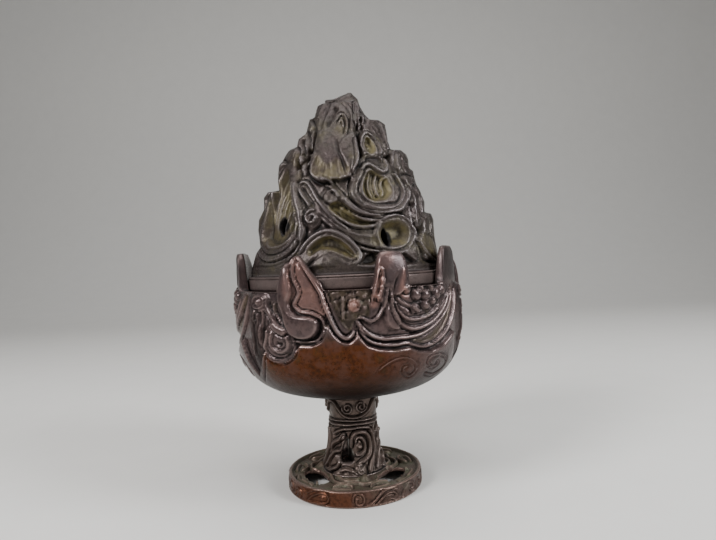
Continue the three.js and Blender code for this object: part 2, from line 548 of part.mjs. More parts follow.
// How far above its ground the rock can rise at a place before the front view sees it outside the
// measured outlines
const roomBeside = (angle, height, radius) => {
  const beside = Math.abs(Math.sin(rad(angle)));
  const nearer = viewDistance / (viewDistance - radius * Math.cos(rad(angle)));
  const narrow = 1 / Math.hypot(1, radius * beside * nearer / viewDistance);
  const seenHeight = viewHeight + (height - viewHeight) * nearer * narrow ** 2;
  const reach = alongLine(angle < 0 ? leftReach : rightReach, seenHeight);
  return reach / (narrow * beside * nearer) - radius;
};

// The front's drawing serves the back as well, and both give way to the measured outlines at the sides
const mountainLevel = (angle, z, radius) => {
  let total = 0;
  let weight = 0;
  for (const turn of frontAndBack) {
    const local = wrapAngle(angle - turn);
    const share = 1 - fade(Math.abs(local), frontFadeStart, frontFadeEnd);
    if (share > 0) total += share * frontLevel(local, z, radius);
    weight += share;
  }
  let level = total / weight;
  const drawn = mountainShape.radiusAt(z) / onMountain.size;
  const beside = Math.abs(Math.sin(rad(angle)));
  if (beside > sideHold[0]) {
    const room = roomBeside(angle, onMountain.drawn(z), drawn);
    level += (Math.min(level, room) - level) * fade(beside, ...sideHold);
    const tangent = THREE.MathUtils.radToDeg(Math.acos(drawn / viewDistance));
    level += (room - level) * (1 - fade(Math.abs(Math.abs(angle) - tangent), ...sideMeet));
  }
  return level * onMountain.size;
};

const carveMountain = (angle, z, radius) => {
  const plainTop = mountainFoot + mountainPlainStrip;
  const relief = fade(z, plainTop, plainTop + mountainStripFade);
  const summit = fade(radius, summitFadeStart, summitFadeEnd);
  const level = blurred(mountainLevel, angle, z, Math.max(radius, summitFadeEnd), onMountain);
  const across = radius * Math.sin(rad(angle)) / onMountain.size;
  const forward = Math.max(radius * Math.cos(rad(angle)), 0);
  const drop = summitDrop * onMountain.size * (1 - fade(across, ...summitDropAcross))
    + summitSlope * forward;
  return {
    radius: radius + level * relief * summit,
    z: z - drop * fade(onMountain.drawn(z), ...summitDropHeights),
  };
};

const smokeHole = ([angle, height]) => {
  const bore = new THREE.CylinderGeometry(1, 1, mountainRadius, boreSides);
  bore.translate(0, mountainRadius / 2 + smokeHoleRadialStart, 0);
  bore.rotateX(Math.PI);
  bore.scale(smokeHoleWidth / 2, 1, smokeHoleHeight / 2);
  bore.rotateZ(rad(angle));
  bore.translate(0, 0, onMountain.at(height));
  return asManifold(welded(bore));
};

const makeMountain = () => {
  const slope = mountainShape.spaced(lidRows);
  let mountain = turned([[0, mountainFoot], ...slope], lidColumns, carveMountain);
  const openingRadius = mountainRadius - mountainFootWall;
  const roof = inset(mountainShape.spaced(cavityRows * 2), mountainWall).filter(([r, z]) =>
    r > 2 && z > mountainFoot + mountainPlainStrip);
  const roofTop = roof.at(-1)[1] + roof.at(-1)[0] / 2;
  const cavity = turned([[0, mountainFoot - 1], [openingRadius, mountainFoot - 1],
    [openingRadius, mountainFoot + bandCollarHeight + 1], ...roof, [0, roofTop]], cavityColumns);
  mountain = mountain.subtract(cavity);
  for (const hole of smokeHoles) mountain = mountain.subtract(smokeHole(hole));
  return mountain;
};

// The band's lip hangs inside the bowl's rim, and its collar stands inside the mountain
const makeBand = () => {
  const lipOuter = rimLedgeRadius - bandLipClearance;
  const collarOuter = mountainRadius - mountainFootWall - bandCollarClearance;
  const collarInner = collarOuter - bandCollarWall;
  const lipInner = Math.min(lipOuter - bandLipWall, collarInner);
  return turned([[lipInner, bandBottom - bandLipDepth], [lipOuter, bandBottom - bandLipDepth],
    [lipOuter, bandBottom], [bandRadius, bandBottom], [bandRadius, mountainFoot],
    [collarOuter, mountainFoot], [collarOuter, mountainFoot + bandCollarHeight],
    [lipInner, mountainFoot + bandCollarHeight], [lipInner, bandBottom - bandLipDepth]], footColumns);
};

// Bowl
const bowlShape = outline(bowlOutline, bellyRadius, bowlBottom, bowlRim);

const thirdLevel = (angle, z, radius) => {
  const line = onBowl.at(alongLine(waterLine, angle));
  const water = fade((z - line) / onBowl.size, -formEdge, formEdge);
  return laidForms(bowlForms, -reliefDepth * water, angle, z, radius, onBowl)
    + ridgeRise(bowlRidges, angle, z, radius, onBowl);
};

const bowlLevel = (angle, z, radius) => {
  let total = 0;
  let weight = 0;
  for (const turn of bowlThirds) {
    const local = wrapAngle(angle - turn - thirdMiddle);
    const share = 1 - fade(Math.abs(local), thirdFadeStart, thirdFadeEnd);
    if (share > 0) total += share * thirdLevel(local + thirdMiddle, z, radius);
    weight += share;
  }
  return Math.min(total / weight, bowlProud) * onBowl.size;
};

const carveBowl = (angle, z, radius) => {
  if (z < onBowl.at(waterFoot) || radius < rimLedgeRadius) return { radius, z };
  return { radius: radius + blurred(bowlLevel, angle, z, radius, onBowl), z };
};

// A rim peak is a curved plate whose sides draw in towards its tip
const rimPeak = ({ angle, half, height, lean, point, tuck }) => {
  const geometry = welded(new THREE.BoxGeometry(2, 2, 2, 4, 1, 5));
  const position = geometry.attributes.position;
  const sink = rimLedgeThickness * 0.8;
  const inner = bandRadius + peakClearance;
  const outer = bellyRadius * bowlOutline.at(-1)[0];
  for (let i = 0; i < position.count; i++) {
    const across = position.getX(i);
    const out = (1 - position.getY(i)) / 2;
    const up = (1 + position.getZ(i)) / 2;
    const draw = (1 - point * up) * Math.sqrt(1 - peakTaper * up ** 4);
    const face = outer - tuck * up ** 2 - peakCrown * across ** 2 - peakInset * (1 - fade(up, 0, 0.3));
    const radius = inner + (face - inner) * out;
    const turn = rad(angle + lean * up + half * across * draw);
    position.setXYZ(i, radius * Math.sin(turn), -radius * Math.cos(turn),
      bowlRim - sink + up * (height * onBowl.size + sink));
  }
  return asManifold(geometry);
};

const makeBowl = () => {
  const plainBelow = onBowl.at(waterFoot);
  const side = bowlShape.spaced(bowlRows).filter(([, z], i) => z > plainBelow || i % 2 === 0);
  let bowl = turned([[0, bowlBottom], ...side, [0, bowlRim]], bowlColumns, carveBowl);
  const ledgeBottom = bowlRim - rimLedgeThickness;
  const inside = inset(bowlShape.spaced(cavityRows * 2), bowlWall).filter(([r, z]) =>
    r > stemTopRadius && z > bowlFloorTop + 1 && z < ledgeBottom - 1);
  const cavity = turned([[0, bowlFloorTop], [stemTopRadius, bowlFloorTop], ...inside,
    [rimLedgeRadius, ledgeBottom], [rimLedgeRadius, bowlRim + 1], [0, bowlRim + 1]], cavityColumns);
  bowl = bowl.subtract(cavity);
  for (const peak of rimPeaks) bowl = bowl.add(rimPeak(peak));
  const spigotRadius = stemBoreRadius - spigotClearance;
  const spigot = turned([[0, bowlBottom - spigotLength], [spigotRadius, bowlBottom - spigotLength],
    [spigotRadius, bowlBottom + 1], [0, bowlBottom + 1]], boreSides);
  return bowl.add(spigot).subtract(rodBore(bowlBottom - spigotLength - 1, bowlFloorTop + 1));
};

// Stem
const stemRidges = [
  { rise: 1.1, width: 4.5, path: [[-60, 10], [-34, 14], [-12, 23], [8, 26], [28, 22], [30, 17],
    [12, 14]] },
  { rise: 1.1, width: 4.5, path: [[-50, 38], [-20, 35], [10, 36.5], [40, 33], [60, 34]] },
  { rise: 1.0, width: 4.0, path: [[-60, 29], [-30, 31], [0, 28.5], [30, 30], [60, 29]] },
];

[mountainForms, mountainRidges, mountainGrooves, bowlForms, bowlRidges, stemRidges].forEach(measure);

const makeStem = () => {
  const side = [[stemFootRadius, 0], [stemKneeRadius, stemKneeHeight], [stemWaistRadius, stemWaistHeight],
    [stemTopRadius, stemLength]].map(([r, z]) => new THREE.Vector2(r, stemBottom + z));
  const points = new THREE.SplineCurve(side).getSpacedPoints(stemRows).map(point => [point.x, point.y]);
  const carve = (angle, z, radius) => {
    if (radius < (stemBoreRadius + stemWaistRadius) / 2) return { radius, z };
    const raised = turnedCopies(bowlThirds, turn =>
      ridgeRise(stemRidges, angle - turn, z, radius, onStem) * onStem.size);
    return { radius: radius + raised - stemGround, z };
  };
  let stem = turned([[stemBoreRadius, stemBottom], ...points, [stemBoreRadius, bowlBottom],
    [stemBoreRadius, stemBottom]], stemColumns, carve);
  const teardrop = new THREE.Shape();
  const half = stemWindowWidth / 2;
  teardrop.moveTo(0, stemWindowHeight);
  teardrop.quadraticCurveTo(half * 0.4, stemWindowHeight * 0.6, half, half);
  teardrop.absarc(0, half, half, 0, -Math.PI, true);
  teardrop.quadraticCurveTo(-half * 0.4, stemWindowHeight * 0.6, 0, stemWindowHeight);
  for (const angle of stemWindowAngles) {
    const cut = extruded(teardrop, stemFootRadius, 6);
    cut.rotateZ(rad(stemWindowLean));
    cut.translate(0, stemBottom + stemWindowBottom, stemBoreRadius / 2);
    cut.rotateX(Math.PI / 2);
    cut.rotateZ(rad(angle));
    stem = stem.subtract(asManifold(welded(cut)));
  }
  return stem;
};

// Foot
const makeFoot = () => {
  const webBottom = footHeight - footWebThickness;
  const recessTop = webBottom + footRecessDepth;
  const ringInner = footRadius - footRimWall;
  const spigotRadius = stemBoreRadius - spigotClearance;
  const spigotTop = footHeight + spigotLength;
  const edge = footRadius - footEdge;
  const seat = stemFootRadius + footEdge;
  const top = [];
  for (let i = 0; i <= footRings; i++) top.push([edge + (seat - edge) * i / footRings, footHeight]);
  const carve = (angle, z, radius) => {
    if (z < footHeight - footEdge / 2 || radius < seat - footEdge / 2) return { radius, z };
    const clear = fade(radius, seat, seat + 2) * (1 - fade(radius, edge - 3, edge));
    const waves = footWaveRise * (Math.cos(rad(angle * footWaves + radius * footWaveTurn)) - 1) * clear;
    const roots = footRootAngles.map(root =>
      dome(wrapAngle(angle - root) / footRootSpread) * (1 - fade(radius, seat + 2, footWindowOuter)));
    return { radius, z: z + waves + footRootRise * Math.max(...roots) * clear };
  };
  let foot = turned([[0, recessTop], [footRecessRadius, recessTop], [footRecessRadius, webBottom],
    [ringInner, webBottom], [ringInner, 0], [footRadius - footEdge, 0], [footRadius, footEdge],
    [footRadius, footHeight - footEdge], ...top, [spigotRadius, footHeight], [spigotRadius, spigotTop],
    [0, spigotTop]], footColumns, carve);
  for (const angle of footWindowAngles) {
    const window = new THREE.Shape();
    const start = rad(angle - 90 - footWindowSpan / 2);
    const end = rad(angle - 90 + footWindowSpan / 2);
    window.absarc(0, 0, footWindowOuter, start, end, false);
    window.absarc(0, 0, footWindowInner, end, start, true);
    window.closePath();
    const cut = extruded(window, footHeight, 8);
    cut.translate(0, 0, webBottom - 1);
    foot = foot.subtract(asManifold(welded(cut)));
  }
  return foot.subtract(rodBore(recessTop - 1, spigotTop + 1));
};

// Tie rod, nuts and washers
const footSeat = footHeight - footWebThickness + footRecessDepth;
const rodBottom = footSeat - washerThickness - lowerNutHeight - rodTail;
const rodTop = bowlFloorTop + washerThickness + upperNutHeight + rodTail;

const makeRod = () =>
  turned([[0, rodBottom], [rodRadius, rodBottom], [rodRadius, rodTop], [0, rodTop]], boreSides);

const makeWasher = bottom => {
  const inner = rodRadius + rodClearance;
  const top = bottom + washerThickness;
  return turned([[inner, bottom], [washerRadius, bottom], [washerRadius, top], [inner, top],
    [inner, bottom]], boreSides);
};

const makeNut = (bottom, height) => {
  const hexagon = new THREE.Shape();
  const corner = nutAcrossFlats / Math.sqrt(3);
  for (let i = 0; i < 6; i++) {
    const turn = rad(60 * i + 30);
    if (i === 0) hexagon.moveTo(corner * Math.cos(turn), corner * Math.sin(turn));
    else hexagon.lineTo(corner * Math.cos(turn), corner * Math.sin(turn));
  }
  hexagon.closePath();
  const thread = new THREE.Path();
  thread.absarc(0, 0, rodRadius + threadClearance, 0, 2 * Math.PI, true);
  hexagon.holes.push(thread);
  const nut = extruded(hexagon, height, boreSides);
  nut.translate(0, 0, bottom);
  return asManifold(welded(nut));
};

const bronze = (color, roughness) => new THREE.MeshStandardMaterial({ color, roughness, metalness: 0.85 });
const finishes = {
  mountain: bronze(0x4b4039, 0.5),
  band: bronze(0x54443d, 0.45),
  bowl: bronze(0x5a3a2b, 0.38),
  stem: bronze(0x3f3935, 0.5),
  foot: bronze(0x56463b, 0.45),
  steel: new THREE.MeshStandardMaterial({ color: 0x8d8a84, roughness: 0.4, metalness: 1 }),
};

const piece = (name, manifold, finish) => {
  const mesh = new THREE.Mesh(asGeometry(manifold), finishes[finish]);
  mesh.name = name;
  return mesh;
};

const lid = new THREE.Group();
lid.add(piece('mountain_lid', makeMountain(), 'mountain'));
lid.add(piece('lid_band', makeBand(), 'band'));

const cup = new THREE.Group();
cup.add(piece('bowl', makeBowl(), 'bowl'));
cup.add(piece('stem', makeStem(), 'stem'));
cup.add(piece('foot', makeFoot(), 'foot'));
cup.add(piece('tie_rod', makeRod(), 'steel'));
cup.add(piece('upper_washer', makeWasher(bowlFloorTop), 'steel'));
cup.add(piece('upper_nut', makeNut(bowlFloorTop + washerThickness, upperNutHeight), 'steel'));
cup.add(piece('lower_washer', makeWasher(footSeat - washerThickness), 'steel'));
cup.add(piece('lower_nut', makeNut(footSeat - washerThickness - lowerNutHeight, lowerNutHeight), 'steel'));

const group = new THREE.Group();
group.add(cup, lid);

export default group;
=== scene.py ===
# Hill censer: a cup on an openwork column and a pierced round foot, under a hollow mountain lid.
# The frame is in metres. The cast relief is drawn on the unrolled surface of each piece, in degrees round
# the upright axis, 0 at the front and positive to the right, and in millimetres above the table.

import math

import bmesh
import bpy
import numpy as np
from mathutils import Matrix, Vector, noise


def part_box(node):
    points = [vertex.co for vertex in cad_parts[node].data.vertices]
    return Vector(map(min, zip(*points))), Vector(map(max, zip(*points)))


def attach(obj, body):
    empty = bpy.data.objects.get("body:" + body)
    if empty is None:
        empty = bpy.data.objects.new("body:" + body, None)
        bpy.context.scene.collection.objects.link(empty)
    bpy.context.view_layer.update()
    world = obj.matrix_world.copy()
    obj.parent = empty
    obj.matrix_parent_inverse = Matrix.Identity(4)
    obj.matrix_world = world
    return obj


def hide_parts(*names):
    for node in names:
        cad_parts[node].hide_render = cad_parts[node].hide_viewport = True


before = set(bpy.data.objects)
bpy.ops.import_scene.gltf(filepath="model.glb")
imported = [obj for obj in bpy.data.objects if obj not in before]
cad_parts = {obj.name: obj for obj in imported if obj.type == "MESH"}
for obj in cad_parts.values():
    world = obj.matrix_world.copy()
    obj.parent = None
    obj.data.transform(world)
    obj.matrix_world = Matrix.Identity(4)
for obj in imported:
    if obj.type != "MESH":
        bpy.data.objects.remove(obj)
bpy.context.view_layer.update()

MM = 0.001


def heights(node):
    """Lowest and highest level of a node, in millimetres"""
    low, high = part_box(node)
    return low.z / MM, high.z / MM


BAND_HEIGHT = 6.4
SEAT_GAP = 0.3
MOUNTAIN_RADIUS = 47.8
MOUNTAIN_FOOT = heights("mountain_lid")[0]
STEM_BOTTOM, STEM_TOP = heights("stem")
BAND_BOTTOM = MOUNTAIN_FOOT - BAND_HEIGHT
RIM = BAND_BOTTOM - SEAT_GAP
THIRDS = (0, 120, 240)
HALVES = (0, 180)


# Curves and outlines

SHORTEST_TAPER = 1e-3
SPIRAL_POINTS = 12
SPIRAL_CORE = 0.12


def smooth_path(points, parts=5):
    """A soft curve through the points, with a few straight parts between each two"""
    p = np.array(points, float)
    p = np.vstack([2 * p[0] - p[1], p, 2 * p[-1] - p[-2]])
    out = []
    for i in range(1, len(p) - 2):
        t = np.linspace(0, 1, parts, endpoint=False)[:, None]
        a, b, c, d = p[i - 1], p[i], p[i + 1], p[i + 2]
        curve = 2 * b + (c - a) * t + (2 * a - 5 * b + 4 * c - d) * t**2 + (3 * b - a - 3 * c + d) * t**3
        out.append(0.5 * curve)
    out.append(p[-2][None, :])
    return np.vstack(out)


def smooth_loop(points, parts=5):
    """A soft closed curve through the points"""
    p = [points[-1], *points, points[0], points[1]]
    curve = smooth_path(p, parts)
    return curve[parts:-parts]


def spaced(points, step):
    """The same line with points a step apart"""
    p = np.array(points, float)
    along = np.concatenate([[0], np.cumsum(np.hypot(*np.diff(p, axis=0).T))])
    count = max(1, round(along[-1] / step))
    where = np.linspace(0, along[-1], count + 1)
    return np.stack([np.interp(where, along, p[:, 0]), np.interp(where, along, p[:, 1])], axis=1)


def shifted(outline, turn):
    """The same outline further round the upright axis"""
    return [(angle + turn, height) for angle, height in outline]


def wrap(angle):
    """The same angle between -180 and 180 degrees"""
    return (angle + 180) % 360 - 180


def fade(value, start, end):
    """0 before start and 1 after end, with a soft turn"""
    t = np.clip((value - start) / (end - start), 0, 1)
    return t * t * (3 - 2 * t)


def tapered(share, taper):
    """How full a line is at a share of its length; it starts and ends over the two shares of the taper"""
    start, end = np.maximum(taper, SHORTEST_TAPER)
    return fade(share, 0, start) * (1 - fade(share, 1 - end, 1))


def hump(share):
    """A round hump: 1 at 0, and 0 from 1 on"""
    return 0.5 + 0.5 * np.cos(math.pi * np.clip(share, 0, 1))


def dome(share):
    """A quarter round: 0 up to 0, and 1 from 1 on"""
    return np.sqrt(np.clip(1 - (1 - np.clip(share, 0, 1)) ** 2, 0, 1))


def spiral(at, radius, turns, start, arc, hand=1):
    """A spiral drawn inwards from its outer end; arc is the millimetres in a degree there"""
    t = np.linspace(0, 1, int(turns * SPIRAL_POINTS) + 2)
    turn = np.radians(start) + hand * t * turns * 2 * math.pi
    r = radius * (1 - (1 - SPIRAL_CORE) * t)
    return [(at[0] + x / arc, at[1] + y) for x, y in zip(r * np.cos(turn), r * np.sin(turn))]


# Relief

FAR = 1e3
TINY = 1e-12
STRAP_END_WIDTH = 0.35
STRAP_ROUNDING = 0.7
STRAP_EDGE = (0.85, 1.15)
GROOVE_DEEPENING = 1.2
GROOVE_PLACE = 1.16
GROOVE_WIDTH = 0.16
LEAST_GROOVE = 0.34
ROCK_SHOULDER = 3.5
ROCK_GAP_WIDTH = 0.6
BALL_GAP_WIDTH = 0.45
BALL_GAP_DEPTH = 0.5
TARNISH_FEATHER = 4.0
FLUTE_EDGE = 2
FLUTE_WANDER = 0.6
FLUTE_SHARPNESS = 0.7
PEBBLE_EDGE = 1.0


class Relief:
    """The level of a carved surface, in millimetres over its turned ground, at many points at once, and the
    marks on it: olive stain, red brown glow, copper and painted shade"""

    def __init__(self, angle, height, arc, folds):
        self.order = np.argsort(height, kind="stable")
        self.sorted_height = height[self.order]
        self.angle = angle
        self.height = height
        self.arc = arc
        self.folds = folds
        self.level, self.stain, self.glow, self.copper, self.painted_shade = np.zeros((5, len(angle)))
        self.strap_rise = 1.0
        self.strap_width = 1.0

    def near(self, path, reach):
        """Points in reach of a path from low to high, and their place across from its middle, in degrees"""
        middle = (path[:, 0].min() + path[:, 0].max()) / 2
        half = (path[:, 0].max() - path[:, 0].min()) / 2
        low, high = np.searchsorted(self.sorted_height, [path[:, 1].min() - reach, path[:, 1].max() + reach])
        picked = self.order[low:high]
        across = wrap(self.angle[picked] - middle)
        inside = np.abs(across) * self.arc[picked] <= half * self.arc[picked] + reach
        return picked[inside], across[inside], middle

    def distance(self, path, reach):
        """Distance to a path, for the points in reach of it, and the share along it"""
        picked, across, middle = self.near(path, reach)
        arc = self.arc[picked]
        x = across * arc
        z = self.height[picked]
        best = np.full(len(picked), FAR)
        share = np.zeros(len(picked))
        last = len(path) - 1
        for i in range(last):
            (a0, z0), (a1, z1) = path[i], path[i + 1]
            low, high = np.searchsorted(z, [min(z0, z1) - reach, max(z0, z1) + reach])
            part = slice(low, high)
            ax, az = (a0 - middle) * arc[part], z0
            dx, dz = (a1 - a0) * arc[part], z1 - z0
            along = ((x[part] - ax) * dx + (z[part] - az) * dz) / (dx * dx + dz * dz + TINY)
            along = np.clip(along, 0, 1)
            gap = np.hypot(x[part] - ax - along * dx, z[part] - az - along * dz)
            closer = gap < best[part]
            best[part] = np.where(closer, gap, best[part])
            share[part] = np.where(closer, (i + along) / last, share[part])
        return picked, best, share

    def depth_inside(self, outline, reach):
        """How deep points lie inside an outline, up to reach in millimetres; negative outside it"""
        loop = smooth_loop(outline)
        closed = np.vstack([loop, loop[:1]])
        picked, gap, _ = self.distance(closed, reach)
        _, across, middle = self.near(closed, reach)
        z = self.height[picked]
        within = np.zeros(len(picked), bool)
        for (a0, z0), (a1, z1) in zip(closed, closed[1:]):
            if z0 == z1:
                continue
            low, high = np.searchsorted(z, sorted((z0, z1)), side="left")
            part = slice(low, high)
            edge = (a1 - a0) * (z[part] - z0) / (z1 - z0) + a0 - middle
            within[part] ^= across[part] < edge
        gap = np.minimum(gap, reach)
        return picked, np.where(within, gap, -gap)

    def gap_to(self, at):
        """Distance of every point to one place"""
        return np.hypot(wrap(self.angle - at[0]) * self.arc, self.height - at[1])

    def settle(self, picked, aim, mask):
        """Brings points to a level, clean of olive"""
        self.level[picked] += (aim - self.level[picked]) * mask
        self.stain[picked] *= 1 - mask

    def ridge(self, path, width, rise, taper=(0.12, 0.12), soft=True):
        """A raised round line"""
        line = smooth_path(path) if soft else np.array(path, float)
        picked, gap, share = self.distance(line, width)
        self.level[picked] += rise * hump(gap / (width / 2)) * tapered(share, taper)

    def groove(self, path, width, depth, taper=(0.2, 0.2)):
        """A round furrow"""
        self.ridge(path, width, -depth, taper=taper)

    def ribbon(self, path, width, rise, groove=0.9, taper=(0.1, 0.1)):
        """A raised strap with a rounded top and a groove down each side; its ends narrow"""
        width = width * self.strap_width
        picked, gap, share = self.distance(smooth_path(path), width)
        ends = tapered(share, taper)
        half = width / 2 * (STRAP_END_WIDTH + (1 - STRAP_END_WIDTH) * ends)
        t = gap / half
        top = rise * self.strap_rise * (1 - STRAP_ROUNDING * t**2)
        body = 1 - fade(t, *STRAP_EDGE)
        cut = np.exp(-((gap - GROOVE_PLACE * half) / np.maximum(GROOVE_WIDTH * half, LEAST_GROOVE)) ** 2)
        self.level[picked] += (top * body - GROOVE_DEEPENING * groove * cut) * fade(ends, 0, 0.5)

    def pad(self, outline, level, edge=1.0, crown=0.0, crown_reach=6.0):
        """Brings the surface inside an outline to a level, with a rounded edge and a crowned middle"""
        picked, depth = self.depth_inside(outline, max(edge, crown_reach if crown else 0))
        aim = level + crown * dome(depth / crown_reach)
        self.settle(picked, aim, fade(depth, -edge * 0.5, edge * 0.5))

    def rock(self, outline, low, high, edge=0.9, gap=1.5, ribs=0.5):
        """A rock that leans out from its foot to its tip, with a dark gap round it"""
        picked, depth = self.depth_inside(outline, ROCK_SHOULDER)
        levels = [height for _, height in outline]
        up = np.clip((self.height[picked] - min(levels)) / (max(levels) - min(levels)), 0, 1)
        aim = low + (high - low) * up + dome(depth / ROCK_SHOULDER) + ribs * self.folds[picked]
        self.level[picked] -= gap * np.exp(-((depth + 1.0) / ROCK_GAP_WIDTH) ** 2)
        self.settle(picked, aim, fade(depth, -edge * 0.5, edge * 0.5))

    def dish(self, outline, depth, wall=2.5, stain=1.0):
        """Sinks the surface inside an outline, with sloping walls; old dull olive settles in it"""
        picked, inner = self.depth_inside(outline, wall + 1.5)
        self.level[picked] -= depth * fade(inner, 0, wall)
        self.stain[picked] = np.maximum(self.stain[picked], stain * fade(inner, -0.4, wall * 0.7))

    def tarnish(self, outline, stain):
        """Dull olive inside an outline, with the surface as it is"""
        picked, inner = self.depth_inside(outline, TARNISH_FEATHER)
        share = fade(inner, -TARNISH_FEATHER * 0.3, TARNISH_FEATHER)
        self.stain[picked] = np.maximum(self.stain[picked], stain * share)

    def wash(self, outline, copper=0.0, painted_shade=0.0, feather=3.0):
        """Rubs the skin inside an outline to copper, or darkens it with painted shade"""
        picked, inner = self.depth_inside(outline, feather)
        share = fade(inner, -feather * 0.5, feather * 0.5)
        self.copper[picked] = np.maximum(self.copper[picked], copper * share)
        self.painted_shade[picked] = np.maximum(self.painted_shade[picked], painted_shade * share)

    def boss(self, at, radius, rise):
        """A rounded knob"""
        self.level += rise * hump(self.gap_to(at) / radius)

    def ball(self, at, radius, rise):
        """A round pebble in a dark gap"""
        gap = self.gap_to(at)
        self.level -= BALL_GAP_DEPTH * np.exp(-((gap - radius * 1.1) / BALL_GAP_WIDTH) ** 2)
        self.level += rise * np.sqrt(np.clip(1 - (gap / radius) ** 2, 0, 1))

    def flutes(self, outline, spacing, depth, slant, seed):
        """Long narrow furrows inside an outline, as in rock"""
        picked, inner = self.depth_inside(outline, FLUTE_EDGE)
        rng = np.random.default_rng(seed)
        across = wrap(self.angle[picked] - outline[0][0]) * self.arc[picked]
        z = self.height[picked]
        turn = across + slant * z
        for _ in range(3):
            length = rng.uniform(7, 22)
            wander = np.sin(z * 2 * math.pi / length + across * 0.15 + rng.uniform(0, 6.28))
            turn = turn + FLUTE_WANDER * wander
        wave = np.abs(np.sin(turn * math.pi / spacing)) ** FLUTE_SHARPNESS
        second = np.abs(np.sin(turn * math.pi / (spacing * 2.3) + 1.3)) ** FLUTE_SHARPNESS
        self.level[picked] += depth * (wave * 0.7 + second * 0.5 - 0.8) * fade(inner, 0, FLUTE_EDGE)

    def pebbles(self, outline, spacing, rise, seed):
        """Small round bumps strewn inside an outline"""
        rng = np.random.default_rng(seed)
        loop = np.array(outline, float)
        low, high = loop.min(axis=0), loop.max(axis=0)
        picked, inner = self.depth_inside(outline, PEBBLE_EDGE)
        if not len(picked):
            return
        middle = (low[0] + high[0]) / 2
        arc = self.arc[picked]
        x = wrap(self.angle[picked] - middle) * arc
        z = self.height[picked]
        field = np.zeros(len(picked))
        half = (high[0] - low[0]) / 2 * float(arc.mean())
        for gx in np.arange(-half, half, spacing):
            for gz in np.arange(low[1], high[1], spacing):
                cx, cz = gx + rng.uniform(0, spacing), gz + rng.uniform(0, spacing)
                size = spacing * rng.uniform(0.6, 0.95)
                bump = rise * rng.uniform(0.6, 1.0)
                t = np.clip(np.hypot(x - cx, z - cz) / size, 0, 1)
                field = np.maximum(field, bump * np.sqrt(1 - t**2))
        self.level[picked] += field * fade(inner, 0, PEBBLE_EDGE)


def repeated(carve, turns, half, blend, angle, height, arc, middle=0, folds=None):
    """Relief whose one drawing goes round several times: level, olive, glow, copper and painted shade. The
    drawing reaches half degrees to each side of its middle, and its edges blend with the next one"""
    folds = np.zeros(len(angle)) if folds is None else folds
    total = np.zeros((5, len(angle)))
    weight = np.zeros(len(angle))
    for turn in turns:
        local = wrap(angle - turn - middle) + middle
        beside = np.abs(local - middle)
        near = np.nonzero(beside < half)[0]
        part = Relief(local[near], height[near], arc[near], folds[near])
        carve(part)
        share = fade(half - beside[near], 0, blend)
        total[:, near] += np.stack([part.level, part.stain, part.glow, part.copper, part.painted_shade]) * share
        weight[near] += share
    return total / weight


def lumps(points, size, seed, octaves=3):
    """Smooth random unevenness from -1 to 1 over points in space"""
    rng = np.random.default_rng(seed)
    total = np.zeros(len(points))
    strength = 1.0
    for _ in range(octaves):
        for _ in range(6):
            direction = rng.normal(size=3)
            direction /= np.linalg.norm(direction)
            wave = rng.uniform(0.7, 1.4) * 2 * math.pi / size
            total += strength * np.sin(points @ direction * wave + rng.uniform(0, 6.28))
        size *= 0.5
        strength *= 0.55
    return total / 6


def crags(points, across, tall, shift, octaves):
    """Upright rock: sharp ribs about as wide and as tall as given, from about -1 to 1"""
    scale = np.array([1 / across, 1 / across, 1 / tall])
    found = np.empty(len(points))
    for i, place in enumerate(points * scale + shift):
        found[i] = noise.ridged_multi_fractal(Vector(place), 0.9, 2.1, octaves, 1.0, 2.0)
    middle = np.median(found)
    spread = np.percentile(found, 90) - np.percentile(found, 10)
    return np.clip((found - middle) / spread * 2, -1.4, 1.4)


# Meshes

SAME_POINT = MM * 0.001


def new_object(name, bm):
    """A finished mesh as a smooth shaded object in the scene"""
    mesh = bpy.data.meshes.new(name)
    bm.to_mesh(mesh)
    bm.free()
    mesh.shade_smooth()
    made = bpy.data.objects.new(name, mesh)
    bpy.context.scene.collection.objects.link(made)
    return made


def new_piece(name, bm, body, node):
    """A finished mesh as a piece that rides on a body and stands for a node"""
    piece = new_object(name, bm)
    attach(piece, body)
    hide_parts(node)
    return piece


def spun(profile, steps, closed=False):
    """A profile of (radius, height) in millimetres turned round the upright axis: a grid rolled up"""
    line = np.array([*profile, profile[0]] if closed else profile, float)
    last = len(line) - 1
    bm = bmesh.new()
    bmesh.ops.create_grid(bm, x_segments=steps, y_segments=last, size=0.5)
    for vert in bm.verts:
        turn = (vert.co.x + 0.5) * 2 * math.pi
        radius, height = line[round((vert.co.y + 0.5) * last)]
        vert.co = (radius * math.sin(turn) * MM, -radius * math.cos(turn) * MM, height * MM)
    bmesh.ops.remove_doubles(bm, verts=bm.verts, dist=SAME_POINT)
    bmesh.ops.recalc_face_normals(bm, faces=bm.faces)
    return bm


def place(bm, change):
    """Moves every point of a turned mesh: change takes angle, radius, height and the points, and gives back
    the first three and the marks that the material reads"""
    points = np.array([v.co for v in bm.verts]) / MM
    radius = np.hypot(points[:, 0], points[:, 1])
    angle = np.degrees(np.arctan2(points[:, 0], -points[:, 1]))
    angle, radius, height, marks = change(angle, radius, points[:, 2].copy(), points)
    turn = np.radians(angle)
    moved = np.stack([radius * np.sin(turn), -radius * np.cos(turn), height], axis=1) * MM
    for vert, co in zip(bm.verts, moved):
        vert.co = co
    for name, values in marks.items():
        layer = bm.verts.layers.float.new(name)
        for vert, value in zip(bm.verts, values):
            vert[layer] = value


def pushed(bm, corners, way):
    """A closed prism: the face between the corners, pushed along a way"""
    face = bm.faces.new([bm.verts.new(corner) for corner in corners])
    made = bmesh.ops.extrude_face_region(bm, geom=[face])["geom"]
    moved = [item for item in made if isinstance(item, bmesh.types.BMVert)]
    bmesh.ops.translate(bm, verts=moved, vec=way)


